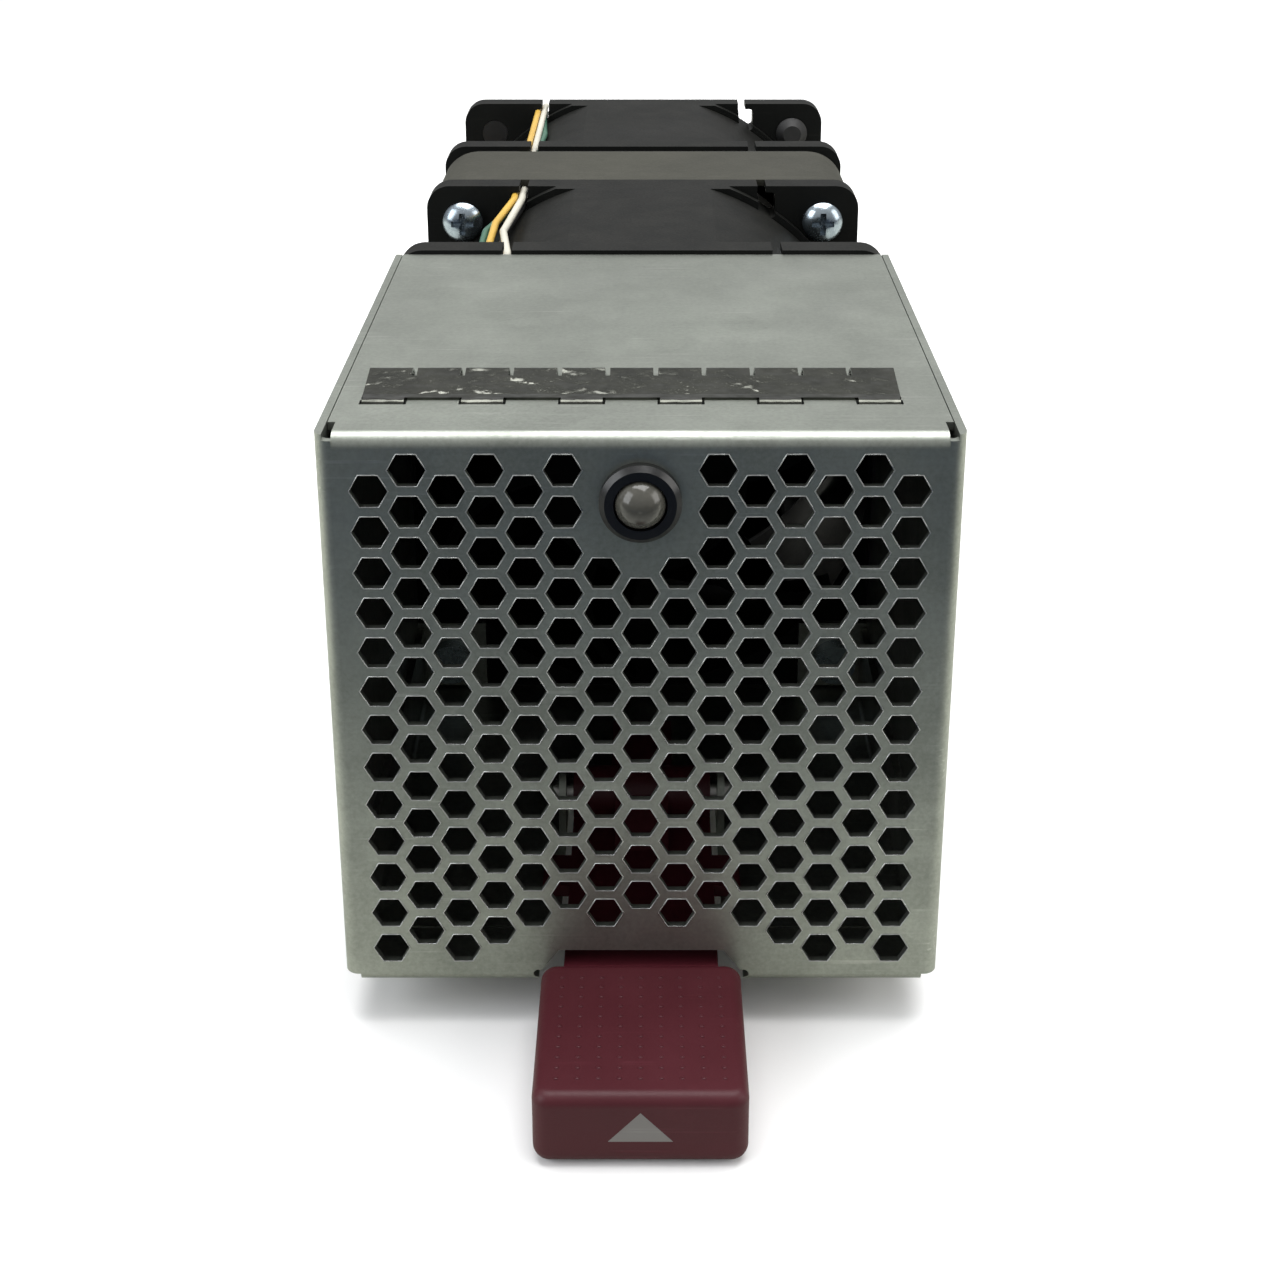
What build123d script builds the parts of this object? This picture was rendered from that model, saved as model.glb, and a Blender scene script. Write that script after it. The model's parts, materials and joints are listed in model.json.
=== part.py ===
from build123d import *
from math import cos, radians, sin, sqrt
import os

# Storage array fan module: a folded sheet-metal box with a perforated face, two axial fans in a row
# behind it with a duct spacer between them, and a sprung release latch under the face.
# All sizes are millimetres. X runs to the right seen from the front, Y runs rearwards and Z runs up.
# Pieces are drawn with the face's outer plane at Y = 0 and the base plane at Z = 0.

# Size of the fans, which the box, the spacer and the docking bracket follow
FAN_SIZE = 60.0

# Sheet-metal box
BOX_LENGTH = 62.5
BOX_TOP_STEP = 0.5
SHEET = 0.8
BEND_R = 1.4
SEAM = 0.1
RELIEF_WIDTH = 0.85
RELIEF_LENGTH = 3.5
RELIEF_DROP = 0.6
CORNER_NOTCH = 1.15
CORNER_NOTCH_WIDTH = 1.6
LIP_LENGTH = 8.4
PLATE_GAP = 0.3
PLATE_FLANGE = 9.5
TAB_REACH = 8.8
TAB_HEIGHT = 9.0

# Hexagonal perforation
HEX_ACROSS_FLATS = 3.2
HEX_PITCH = 4.14
HEX_TOP_MARGIN = 3.47
HEX_SIDE_MARGIN = 1.2
HEX_FOOT_MARGIN = 0.2
LATCH_LAND_WIDTH = 25.0
LATCH_LAND_HEIGHT = 7.5
PANEL_FOOT = 2.4

# Indicator
LED_DROP = 6.5
LED_R = 2.5
LED_LAND_R = 6.3
LED_DOME = 2.7
HOLDER_R = 3.85
HOLDER_RISE = 1.3
HOLDER_NECK_R = 3.1
HOLDER_LENGTH = 4.6
LED_RIM_R = 2.9
LED_RIM = 1.0
LED_LEG = 0.5
LED_LEG_PITCH = 2.54
LED_LEG_LENGTH = 2.0
SLEEVE_R = 2.0
SLEEVE_LENGTH = 6.0

# Contact strip on the top plate
STRIP_PITCH = 4.75
STRIP_MARGIN = 3.0
STRIP_SLIT = 0.5
STRIP_SLIT_LENGTH = 3.2
STRIP_FOOT = 1.0
STRIP_FALL = 1.5
STRIP_SHEET = 0.25
STRIP_FRONT = 9.6
STRIP_LENGTH = 8.0
STRIP_RISE = 1.1
STRIP_OFFSET = -0.9
CLIP_WIDTH = 4.0
CLIP_REACH = 0.9
CLIP_DEPTH = 1.3
CLIP_CLEARANCE = 0.25

# Latch
LATCH_WIDTH = 20.0
LATCH_DEPTH = 20.3
LATCH_TOP = 3.0
LATCH_BOTTOM = -4.7
LATCH_STANDOFF = 0.5
LATCH_WALL = 1.8
LATCH_CORNER_R = 1.6
LATCH_FOOT_R = 1.5
LATCH_EDGE_R = 1.2
LATCH_RIB = 1.2
LATCH_RIB_SPREAD = 8.0
NOTCH_TOP = 4.0
NOTCH_WIDTH = 16.6
NOTCH_RELIEF_R = 0.5
LIP_SPREAD = 20.8
ARM_WIDTH = 15.6
ARM_THICKNESS = 2.0
ARM_FLOOR = 0.15
GUSSET_LENGTH = 9.0
GUSSET_WIDTH = 6.0
WING_WIDTH = 21.4
WING_FRONT = 14.0
WING_LENGTH = 6.0
WING_SEAT = 0.05
TOOTH_WIDTH = 10.0
TOOTH_FRONT = 2.5
TOOTH_LENGTH = 4.5
TOOTH_DROP = 1.3
PIVOT_BACK = 30.0
PIVOT_HEIGHT = 4.2
PIN_R = 1.5
PIN_CLEARANCE = 0.03
PIN_HEAD_R = 2.2
PIN_HEAD = 0.8
HUB_R = 3.0
EAR_LENGTH = 8.0
EAR_CLEARANCE = 0.8
TAIL_LENGTH = 13.0
TAIL_WIDTH = 7.0
TAIL_THICKNESS = 1.6
TAIL_FLOOR = 4.6
SPRING_R = 2.2
SPRING_WIRE = 0.5
SPRING_TURNS = 4
SPRING_BACK = 10.0
PEG_R = 1.2
PEG_LENGTH = 1.0
ARROW_WIDTH = 6.0
ARROW_HEIGHT = 3.2
ARROW_DROP = 1.7
ARROW_INLAY = 0.4

# Fans
FAN_DEPTH = 38.0
FLANGE = 4.0
FLANGE_CORNER_R = 3.2
FAN_HOLE_INSET = 5.0
FAN_HOLE_R = 2.15
BARREL_BULGE = 1.4
BARREL_WALL = 2.65
INLET_FLARE = 0.9
INLET_LENGTH = 3.5
STEP_RISE = 0.9
STEP_LENGTH = 1.6
NOTCH_OFFSET = 16.5
SLIT_WIDTH = 1.2
SLIT_DEPTH = 0.9
KEYHOLE_WIDTH = 2.4
KEYHOLE_HEIGHT = 3.2
KEYHOLE_SHIFT = 0.7
WINDOW_WIDTH = 4.6
WINDOW_LENGTH = 3.8
WINDOW_OFFSET = 20.2
STRUTS = 6
STRUT_WIDTH = 1.8
STRUT_FRONT = 0.8
STRUT_DEPTH = 3.6
STRUT_SWEEP = 28.0
STRUT_BITE = 0.5
BASE_PLATE = 2.0
BASE_RIM = 2.2

# Fan motor and impeller
HUB_OUTER_R = 13.5
HUB_WALL = 0.9
HUB_FRONT = 6.2
HUB_REAR = 29.0
HUB_CAP = 2.0
HUB_EDGE_R = 1.6
BLADES = 7
BLADE_FRONT = 8.0
BLADE_REAR = 33.0
BLADE_THICKNESS = 1.5
TIP_CLEARANCE = 0.75
ROOT_REACH = 8.5
TIP_REACH = 21.0
YOKE_WALL = 1.0
MAGNET_WALL = 1.6
AIR_GAP = 0.4
MAGNET_LENGTH = 15.0
STATOR_FRONT = 8.5
STATOR_LENGTH = 12.0
POLE_WIDTH = 2.6
POLE_SHOE = 1.3
STATOR_RING = 1.4
COIL_BUILD = 1.3
TUBE_OUTER_R = 5.0
TUBE_LENGTH = 20.5
BEARING_R = 4.0
BEARING_WIDTH = 4.0
SHAFT_R = 1.48
SHAFT_CLEARANCE = 0.02
BOARD = 1.0
BOARD_MARGIN = 0.2

# Duct spacer and its seal
SPACER_LENGTH = 18.5
SPACER_WALL = 0.9
SPACER_CORNER_R = 5.5
SPACER_BOSS_R = 3.6
SEAL_LENGTH = 3.5
SEAL_INSET = 0.7
SEAL_WALL = 3.0

# Screws
SCREW_R = 1.5
SCREW_HEAD_R = 2.8
SCREW_HEAD = 1.9
SCREW_BITE = 6.0
SCREW_CLEARANCE = 0.15
NUT_R = 2.7
NUT_HEIGHT = 2.0
BRACKET_SCREW_R = 2.1
BRACKET_HEAD_R = 3.6

# Rubber buffer in the upper right hole at the back
BUFFER_R = 3.8
BUFFER_LENGTH = 3.0
BUFFER_BARB_R = 2.6
BUFFER_BARB = 1.4

# Rear docking connector
BRACKET_WIDTH = 9.6
BRACKET_SHEET = 1.0
DOCK_WIDTH = 8.0
DOCK_HEIGHT = 20.0
DOCK_DEPTH = 10.0
DOCK_DROP = 8.0
DOCK_WALL = 1.0
DOCK_CAVITY = 8.5
CONTACT_R = 0.5
CONTACT_LENGTH = 4.0
CONTACT_PITCH = 3.6

# Wires
WIRE_R = 0.48
WIRE_PITCH = 1.06
WIRE_DROP = 1.45
WIRE_DIP = 1.3
WIRE_BOW = 0.8
WIRE_RISE = 0.33
WIRE_BEND_R = 2.6
WIRE_OVERHANG = 3.4
LEAD_EXIT = 1.7
LEAD_SETTLE = 17.5

# Places worked out from the sizes above
BOX_WIDTH = FAN_SIZE
BOX_HEIGHT = FAN_SIZE - BOX_TOP_STEP
FAN_HOLE_SPACING = FAN_SIZE - 2 * FAN_HOLE_INSET
BARREL_R = FAN_SIZE / 2 + BARREL_BULGE
BORE_R = BARREL_R - BARREL_WALL
STRIP_FINGERS = int((BOX_WIDTH - 2 * STRIP_MARGIN) / STRIP_PITCH)
SHELL_INNER = BOX_WIDTH / 2 - SHEET
TOP_UNDERSIDE = BOX_HEIGHT - SHEET
LED_HEIGHT = BOX_HEIGHT - LED_DROP
FAN_AXIS = FAN_SIZE / 2
FAN1_FRONT = BOX_LENGTH
SPACER_FRONT = FAN1_FRONT + FAN_DEPTH
SEAL_FRONT = SPACER_FRONT + SPACER_LENGTH
FAN2_FRONT = SEAL_FRONT + SEAL_LENGTH
FAN2_REAR = FAN2_FRONT + FAN_DEPTH
DOCK_FRONT = FAN2_REAR + BRACKET_SHEET
DOCK_REAR = DOCK_FRONT + DOCK_DEPTH
DOCK_FLOOR = FAN_AXIS - DOCK_DROP
HEAD_FRONT = -LATCH_STANDOFF - LATCH_DEPTH
EAR_INNER = ARM_WIDTH / 2 + EAR_CLEARANCE
YOKE_R = HUB_OUTER_R - HUB_WALL
MAGNET_R = YOKE_R - YOKE_WALL
CORE_R = MAGNET_R - MAGNET_WALL - AIR_GAP
BEARING_BORE_R = SHAFT_R + SHAFT_CLEARANCE
BASE_TOP = STRUT_FRONT + BASE_PLATE
HOLE = FAN_HOLE_SPACING / 2
ROW_SHIFT = Pos(0, -(HEAD_FRONT + DOCK_REAR) / 2, -LATCH_BOTTOM)


def slab(sketch, front, rear):
    """Carry a front-view sketch, drawn in X and Z, from one depth to another."""
    plane = Plane(origin=(0, front, 0), x_dir=(1, 0, 0), z_dir=(0, -1, 0))
    return extrude(plane * sketch, front - rear)


def rib(sketch, left, right):
    """Carry a side-view sketch, drawn in Y and Z, from left to right."""
    plane = Plane(origin=(left, 0, 0), x_dir=(0, 1, 0), z_dir=(1, 0, 0))
    return extrude(plane * sketch, right - left)


def layer(sketch, low, high):
    """Carry a plan-view sketch, drawn in X and Y, from one height to another."""
    return extrude(Plane.XY.offset(low) * sketch, high - low)


def outline(*points):
    return make_face(Polyline(*points, close=True))


def block(left, right, front, rear, low, high):
    size = (right - left, rear - front, high - low)
    return Pos((left + right) / 2, (front + rear) / 2, (low + high) / 2) * Box(*size)


def turned(*points):
    """Revolve a closed outline of (radius, depth) points about the Y axis."""
    return revolve(outline(*points), Axis.Y)


def ring(outer, inner, front, rear):
    return slab(Circle(outer) - Circle(inner), front, rear)


def both_sides(shape):
    return [shape, mirror(shape, Plane.YZ)]


def corner_spots(spacing):
    half = spacing / 2
    return [(x, z) for x in (-half, half) for z in (-half, half)]


# Sheet-metal shell

def hexagon_spots():
    """Centres of the perforation, in X and Z, left out around the indicator and above the latch."""
    column_pitch = HEX_PITCH * cos(radians(30))
    corner_r = HEX_ACROSS_FLATS / 2 / cos(radians(30))
    columns = int((BOX_WIDTH / 2 - BEND_R - HEX_SIDE_MARGIN - corner_r) / column_pitch)
    spots = []
    for column in range(-columns, columns + 1):
        x = column * column_pitch
        stagger = HEX_PITCH / 2 if column % 2 else 0
        top = BOX_HEIGHT - HEX_TOP_MARGIN - stagger
        lowest = PANEL_FOOT + HEX_FOOT_MARGIN + HEX_ACROSS_FLATS / 2
        for row in range(int((top - lowest) / HEX_PITCH) + 1):
            z = top - row * HEX_PITCH
            near_led = sqrt(x ** 2 + (z - LED_HEIGHT) ** 2) < LED_LAND_R
            near_latch = abs(x) < LATCH_LAND_WIDTH / 2 and z < LATCH_LAND_HEIGHT
            if not near_led and not near_latch:
                spots.append((x, z))
    return spots


def folded_strip(left, right, rear):
    """Face with the top plate and the bottom lip bent back from it, as one bent strip."""
    path = FilletPolyline(
        (LIP_LENGTH, SHEET / 2), (SHEET / 2, SHEET / 2),
        (SHEET / 2, BOX_HEIGHT - SHEET / 2), (rear, BOX_HEIGHT - SHEET / 2),
        radius=BEND_R - SHEET / 2)
    return rib(trace(path, SHEET), left, right)


def side_channel():
    """Face and side walls, bent round the two upright front edges."""
    half = BOX_WIDTH / 2 - SHEET / 2
    path = FilletPolyline(
        (-half, BOX_LENGTH), (-half, SHEET / 2), (half, SHEET / 2), (half, BOX_LENGTH),
        radius=BEND_R - SHEET / 2)
    return layer(trace(path, SHEET), CORNER_NOTCH, BOX_HEIGHT)


def strip_clip_spots():
    """X of each clip of the contact strip: one on every second finger."""
    first = STRIP_OFFSET - (STRIP_FINGERS - 1) / 2 * STRIP_PITCH
    return [first + STRIP_PITCH * finger for finger in range(0, STRIP_FINGERS, 2)]


def make_front_shell():
    half = BOX_WIDTH / 2
    relief_outer = half - SHEET
    relief_inner = relief_outer - RELIEF_WIDTH
    lip_end = half - CORNER_NOTCH_WIDTH
    channel = side_channel()
    channel -= block(-relief_inner, relief_inner, -1, SHEET + 1, BOX_HEIGHT - BEND_R, BOX_HEIGHT + 1)
    strip = folded_strip(-relief_inner, relief_inner, BOX_LENGTH)
    strip -= block(-half, half, -1, LIP_LENGTH + 1, -1, CORNER_NOTCH)
    foot = folded_strip(LIP_SPREAD / 2, lip_end, BEND_R * 2)
    foot = foot & block(0, half, -1, LIP_LENGTH + 1, -1, CORNER_NOTCH)
    bridge = slab(Rectangle(LIP_SPREAD, CORNER_NOTCH, align=(Align.CENTER, Align.MIN)), 0, SHEET)
    shell = channel + strip + both_sides(foot) + bridge
    wing = block(relief_inner, relief_outer - SEAM, RELIEF_LENGTH, BOX_LENGTH, TOP_UNDERSIDE, BOX_HEIGHT)
    shell += both_sides(wing)
    relief = block(relief_inner, relief_outer, -1, RELIEF_LENGTH, BOX_HEIGHT - RELIEF_DROP, BOX_HEIGHT + 1)
    shell -= both_sides(relief)
    shell -= slab(panel_area() + latch_notch(), -1, SHEET + 1)
    slot_half = CLIP_WIDTH / 2 + CLIP_CLEARANCE
    slot_front = STRIP_FRONT - CLIP_REACH - STRIP_SHEET / 2 - CLIP_CLEARANCE
    for x in strip_clip_spots():
        shell -= block(x - slot_half, x + slot_half, slot_front, STRIP_FRONT, TOP_UNDERSIDE - 1, BOX_HEIGHT + 1)
    return shell


def make_corner_tabs():
    """Tabs welded into the open end of the box, which the fan's corner screws go through."""
    outer = BOX_WIDTH / 2 - SHEET
    upper = TOP_UNDERSIDE - SEAM - TAB_HEIGHT
    tabs = []
    for low in (upper, SHEET + PLATE_GAP):
        tab = block(outer - TAB_REACH, outer, BOX_LENGTH - SHEET, BOX_LENGTH, low, low + TAB_HEIGHT)
        tabs += both_sides(tab)
    holes = [Pos(x, z + FAN_AXIS) * Circle(SCREW_R + SCREW_CLEARANCE) for x, z in corner_spots(FAN_HOLE_SPACING)]
    drill = slab(Sketch() + holes, BOX_LENGTH - SHEET - 1, BOX_LENGTH + 1)
    return [tab - drill for tab in tabs]


def latch_notch():
    """Opening in the face's bottom edge that the latch arm passes through, with its bend reliefs."""
    half_top = NOTCH_WIDTH / 2
    half_foot = LIP_SPREAD / 2
    notch = outline((-half_top, NOTCH_TOP), (half_top, NOTCH_TOP), (half_foot, CORNER_NOTCH),
                    (half_foot, -1), (-half_foot, -1), (-half_foot, CORNER_NOTCH))
    return notch + [Pos(x, CORNER_NOTCH) * Circle(NOTCH_RELIEF_R) for x in (-half_foot, half_foot)]


def panel_area():
    """Flat part of the face between its bends, down to a line just above the latch arm."""
    half = BOX_WIDTH / 2 - BEND_R
    top = BOX_HEIGHT - BEND_R
    return outline((-half, PANEL_FOOT), (half, PANEL_FOOT), (half, top), (-half, top))


def make_face_grille():
    """Perforated panel of the face; on the real sheet it runs on into the bends round it."""
    openings = [Pos(x, z) * RegularPolygon(HEX_ACROSS_FLATS / 2, 6, major_radius=False, rotation=0)
                for x, z in hexagon_spots()]
    openings.append(Pos(0, LED_HEIGHT) * Circle(HOLDER_NECK_R))
    openings.append(latch_notch())
    return slab(panel_area() - openings, 0, SHEET)


def make_bottom_plate():
    """Channel that closes the box from below, with the latch window and the pivot ears."""
    half = SHELL_INNER - SHEET / 2
    path = FilletPolyline(
        (-half, PLATE_FLANGE), (-half, SHEET / 2), (half, SHEET / 2), (half, PLATE_FLANGE),
        radius=BEND_R - SHEET / 2)
    front = LIP_LENGTH + PLATE_GAP
    plate = slab(trace(path, SHEET), front, BOX_LENGTH)
    clear = BOX_LENGTH - SHEET - PLATE_GAP
    plate -= block(-half - 1, half + 1, clear, BOX_LENGTH + 1, SHEET, PLATE_FLANGE + 1)
    ear_front = PIVOT_BACK - EAR_LENGTH / 2
    ear_rear = PIVOT_BACK + EAR_LENGTH / 2
    plate -= block(-EAR_INNER, EAR_INNER, front - 1, ear_rear, -1, SHEET + 1)
    ear = outline((ear_front, 0), (ear_rear, 0), (ear_rear, PIVOT_HEIGHT), (ear_front, PIVOT_HEIGHT))
    ear += Pos(PIVOT_BACK, PIVOT_HEIGHT) * Circle(EAR_LENGTH / 2)
    ear -= Pos(PIVOT_BACK, PIVOT_HEIGHT) * Circle(PIN_R)
    plate += both_sides(rib(ear, EAR_INNER, EAR_INNER + SHEET))
    return plate


def make_contact_strip():
    """Sprung fingers on one strip, free at the rear and hooked through slots in the top plate in front."""
    base = BOX_HEIGHT + STRIP_SHEET / 2
    crest = BOX_HEIGHT + STRIP_RISE - STRIP_SHEET / 2
    rear = STRIP_FRONT + STRIP_LENGTH
    path = FilletPolyline(
        (STRIP_FRONT, base), (STRIP_FRONT + STRIP_FOOT, base), (rear - STRIP_FALL, crest), (rear, base),
        radius=0.6)
    width = STRIP_FINGERS * STRIP_PITCH - STRIP_SLIT
    left = STRIP_OFFSET - width / 2
    strip = rib(trace(path, STRIP_SHEET), left, left + width)
    for gap in range(1, STRIP_FINGERS):
        x = left - STRIP_SLIT / 2 + gap * STRIP_PITCH
        strip -= block(x - STRIP_SLIT / 2, x + STRIP_SLIT / 2, rear - STRIP_SLIT_LENGTH, rear + 1,
                       BOX_HEIGHT - 1, BOX_HEIGHT + STRIP_RISE + 1)
    hook = FilletPolyline(
        (STRIP_FRONT + 0.3, base), (STRIP_FRONT - CLIP_REACH, base), (STRIP_FRONT - CLIP_REACH, BOX_HEIGHT - CLIP_DEPTH),
        radius=0.4)
    for x in strip_clip_spots():
        strip += rib(trace(hook, STRIP_SHEET), x - CLIP_WIDTH / 2, x + CLIP_WIDTH / 2)
    return strip


# Indicator

def at_led(shape):
    return Pos(0, 0, LED_HEIGHT) * shape


def make_led_holder():
    edge = 0.5
    barb = 0.35
    return at_led(turned(
        (LED_R, -HOLDER_RISE), (HOLDER_R - edge, -HOLDER_RISE), (HOLDER_R, edge - HOLDER_RISE),
        (HOLDER_R, 0), (HOLDER_NECK_R, 0), (HOLDER_NECK_R, SHEET), (HOLDER_NECK_R + barb, SHEET + barb),
        (HOLDER_NECK_R, SHEET + 4 * barb), (HOLDER_NECK_R, HOLDER_LENGTH), (LED_R, HOLDER_LENGTH)))


def make_led_lens():
    dome_start = LED_R - LED_DOME
    profile = make_face([
        Line((0, HOLDER_LENGTH + LED_RIM), (LED_RIM_R, HOLDER_LENGTH + LED_RIM)),
        Line((LED_RIM_R, HOLDER_LENGTH + LED_RIM), (LED_RIM_R, HOLDER_LENGTH)),
        Line((LED_RIM_R, HOLDER_LENGTH), (LED_R, HOLDER_LENGTH)),
        Line((LED_R, HOLDER_LENGTH), (LED_R, dome_start)),
        ThreePointArc((LED_R, dome_start), (LED_R * sin(radians(45)), dome_start - LED_R * cos(radians(45))),
                      (0, -LED_DOME)),
        Line((0, -LED_DOME), (0, HOLDER_LENGTH + LED_RIM))])
    return at_led(revolve(profile, Axis.Y))


def make_led_legs():
    front = HOLDER_LENGTH + LED_RIM
    leg = slab(Pos(LED_LEG_PITCH / 2, LED_HEIGHT) * Rectangle(LED_LEG, LED_LEG), front, front + LED_LEG_LENGTH)
    return both_sides(leg)


def make_led_sleeve():
    front = HOLDER_LENGTH + LED_RIM + LED_LEG_LENGTH
    body = slab(Pos(0, LED_HEIGHT) * Circle(SLEEVE_R), front, front + SLEEVE_LENGTH)
    return fillet(body.edges(), 0.4)


# Latch

def make_latch_lever():
    """Moulded handle, arm, catch tooth, pivot hub and spring tail in one piece."""
    half = LATCH_WIDTH / 2
    head = block(-half, half, HEAD_FRONT, -LATCH_STANDOFF, LATCH_BOTTOM, LATCH_TOP)
    head = fillet(head.edges().filter_by(Axis.Z), LATCH_CORNER_R)
    head = fillet(head.faces().sort_by(Axis.Z)[0].edges(), LATCH_FOOT_R)
    head = fillet(head.faces().sort_by(Axis.Z)[-1].edges(), LATCH_EDGE_R)
    inner = half - LATCH_WALL
    hollow_front = HEAD_FRONT + LATCH_WALL
    hollow_rear = -LATCH_STANDOFF - LATCH_WALL
    roof = LATCH_TOP - LATCH_WALL
    head -= block(-inner, inner, hollow_front, hollow_rear, LATCH_BOTTOM - 1, roof)
    rib_left = LATCH_RIB_SPREAD / 2
    head += both_sides(block(rib_left, rib_left + LATCH_RIB, hollow_front, hollow_rear,
                             LATCH_BOTTOM + LATCH_FOOT_R, roof))
    arm_top = ARM_FLOOR + ARM_THICKNESS
    arm = block(-ARM_WIDTH / 2, ARM_WIDTH / 2, -LATCH_STANDOFF - 1, PIVOT_BACK, ARM_FLOOR, arm_top)
    wing_low = SHEET + WING_SEAT
    wing = block(-WING_WIDTH / 2, WING_WIDTH / 2, WING_FRONT, WING_FRONT + WING_LENGTH, wing_low, arm_top)
    tooth_rear = TOOTH_FRONT + TOOTH_LENGTH
    tooth = rib(outline((TOOTH_FRONT, arm_top), (TOOTH_FRONT, -TOOTH_DROP), (TOOTH_FRONT + 1, -TOOTH_DROP),
                        (tooth_rear, ARM_FLOOR), (tooth_rear, arm_top)), -TOOTH_WIDTH / 2, TOOTH_WIDTH / 2)
    hub = rib(Pos(PIVOT_BACK, PIVOT_HEIGHT) * Circle(HUB_R), -ARM_WIDTH / 2, ARM_WIDTH / 2)
    gusset_front = PIVOT_BACK - GUSSET_LENGTH
    gusset = outline((gusset_front, ARM_FLOOR), (PIVOT_BACK, ARM_FLOOR + 1),
                     (PIVOT_BACK, PIVOT_HEIGHT + HUB_R - 0.4), (gusset_front, arm_top))
    arm_gusset = rib(gusset, -GUSSET_WIDTH / 2, GUSSET_WIDTH / 2)
    tail_top = TAIL_FLOOR + TAIL_THICKNESS
    tail = block(-TAIL_WIDTH / 2, TAIL_WIDTH / 2, PIVOT_BACK, PIVOT_BACK + TAIL_LENGTH, TAIL_FLOOR, tail_top)
    peg_spot = Pos(0, PIVOT_BACK + SPRING_BACK, TAIL_FLOOR - PEG_LENGTH / 2)
    peg = peg_spot * Cylinder(PEG_R, PEG_LENGTH)
    lever = head + arm + wing + tooth + hub + arm_gusset + tail + peg
    lever -= rib(Pos(PIVOT_BACK, PIVOT_HEIGHT) * Circle(PIN_R + PIN_CLEARANCE), -LATCH_WIDTH, LATCH_WIDTH)
    return lever - arrow_prism(HEAD_FRONT - 1)


def arrow_prism(front):
    apex = LATCH_TOP - ARROW_DROP
    arrow = outline((0, apex), (-ARROW_WIDTH / 2, apex - ARROW_HEIGHT), (ARROW_WIDTH / 2, apex - ARROW_HEIGHT))
    return slab(arrow, front, HEAD_FRONT + ARROW_INLAY)


def make_release_arrow():
    return arrow_prism(HEAD_FRONT)


def make_latch_pin():
    reach = EAR_INNER + SHEET
    spot = Pos(PIVOT_BACK, PIVOT_HEIGHT)
    return rib(spot * Circle(PIN_R), -reach - PIN_HEAD, reach) + rib(spot * Circle(PIN_HEAD_R), reach, reach + PIN_HEAD)


def make_latch_spring():
    """Compression spring that stands on the bottom plate and lifts the tail of the latch."""
    height = TAIL_FLOOR - SHEET
    mean_r = SPRING_R - SPRING_WIRE / 2
    coil_height = height - SPRING_WIRE
    coil = Helix(pitch=coil_height / SPRING_TURNS, height=coil_height, radius=mean_r)
    section = Plane(origin=coil @ 0, z_dir=coil % 0) * Circle(SPRING_WIRE / 2)
    wire = sweep(section, path=coil)
    return Pos(0, PIVOT_BACK + SPRING_BACK, SHEET + SPRING_WIRE / 2) * wire


# Fans, drawn about the Y axis with the front flange's face at Y = 0

def keyhole(mirrored=False):
    """Wire notch through a flange: a narrow slit from the edge to a rounded hole."""
    side = -1 if mirrored else 1
    edge = FAN_SIZE / 2
    slit = Pos(side * NOTCH_OFFSET, edge - SLIT_DEPTH / 2) * Rectangle(SLIT_WIDTH, SLIT_DEPTH + 1)
    hole_spot = Pos(side * (NOTCH_OFFSET + KEYHOLE_SHIFT), edge - SLIT_DEPTH - KEYHOLE_HEIGHT / 2)
    return slit + hole_spot * RectangleRounded(KEYHOLE_WIDTH, KEYHOLE_HEIGHT, 0.6)


def strut_outline():
    """One swept strut between the motor base and the barrel, seen from the front."""
    inner = HUB_OUTER_R - 1
    outer = BORE_R + STRUT_BITE
    half = STRUT_WIDTH / 2
    sweep_angle = radians(STRUT_SWEEP)

    def spot(radius, share, side):
        angle = sweep_angle * share
        return (radius * cos(angle) - side * half * sin(angle), radius * sin(angle) + side * half * cos(angle))

    middle = (inner + outer) / 2
    leading = ThreePointArc(spot(inner, 0, 1), spot(middle, 0.35, 1), spot(outer, 1, 1))
    trailing = ThreePointArc(spot(outer, 1, -1), spot(middle, 0.35, -1), spot(inner, 0, -1))
    return make_face([leading, Line(leading @ 1, trailing @ 0), trailing, Line(trailing @ 1, leading @ 0)])


def lead_window(offset):
    """Hole through the barrel behind the front flange, where the motor's leads come out."""
    return block(offset - WINDOW_WIDTH / 2, offset + WINDOW_WIDTH / 2,
                 FLANGE, FLANGE + WINDOW_LENGTH, FAN_SIZE / 4, FAN_SIZE / 2)


def fan_frame(window):
    """Moulded frame: two flanges on a barrel, with the motor base carried on swept struts."""
    square = Rectangle(FAN_SIZE, FAN_SIZE)
    flange = RectangleRounded(FAN_SIZE, FAN_SIZE, FLANGE_CORNER_R)
    holes = [Pos(x, z) * Circle(FAN_HOLE_R) for x, z in corner_spots(FAN_HOLE_SPACING)]
    notches = [keyhole(), keyhole(mirrored=True), Rot(0, 0, 90) * keyhole()]
    step = Circle(BARREL_R + STEP_RISE) & square
    rear_flange = FAN_DEPTH - FLANGE
    frame = slab(flange - holes - notches, rear_flange, FAN_DEPTH)
    frame += slab(flange - holes - notches, 0, FLANGE)
    frame += slab(step - notches, rear_flange - STEP_LENGTH, rear_flange)
    frame += slab(Circle(BARREL_R) & square, 0, FAN_DEPTH)
    flare = BORE_R + INLET_FLARE
    frame -= turned((0, -1), (BORE_R, -1), (BORE_R, FAN_DEPTH - INLET_LENGTH),
                    (flare, FAN_DEPTH), (flare, FAN_DEPTH + 1), (0, FAN_DEPTH + 1))
    strut = slab(strut_outline(), STRUT_FRONT, STRUT_FRONT + STRUT_DEPTH)
    frame += [Rot(0, 360 / STRUTS * number, 0) * strut for number in range(STRUTS)]
    frame += slab(Circle(HUB_OUTER_R), STRUT_FRONT, BASE_TOP)
    frame += ring(HUB_OUTER_R, YOKE_R, BASE_TOP, BASE_TOP + BASE_RIM)
    return frame - window


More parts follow.
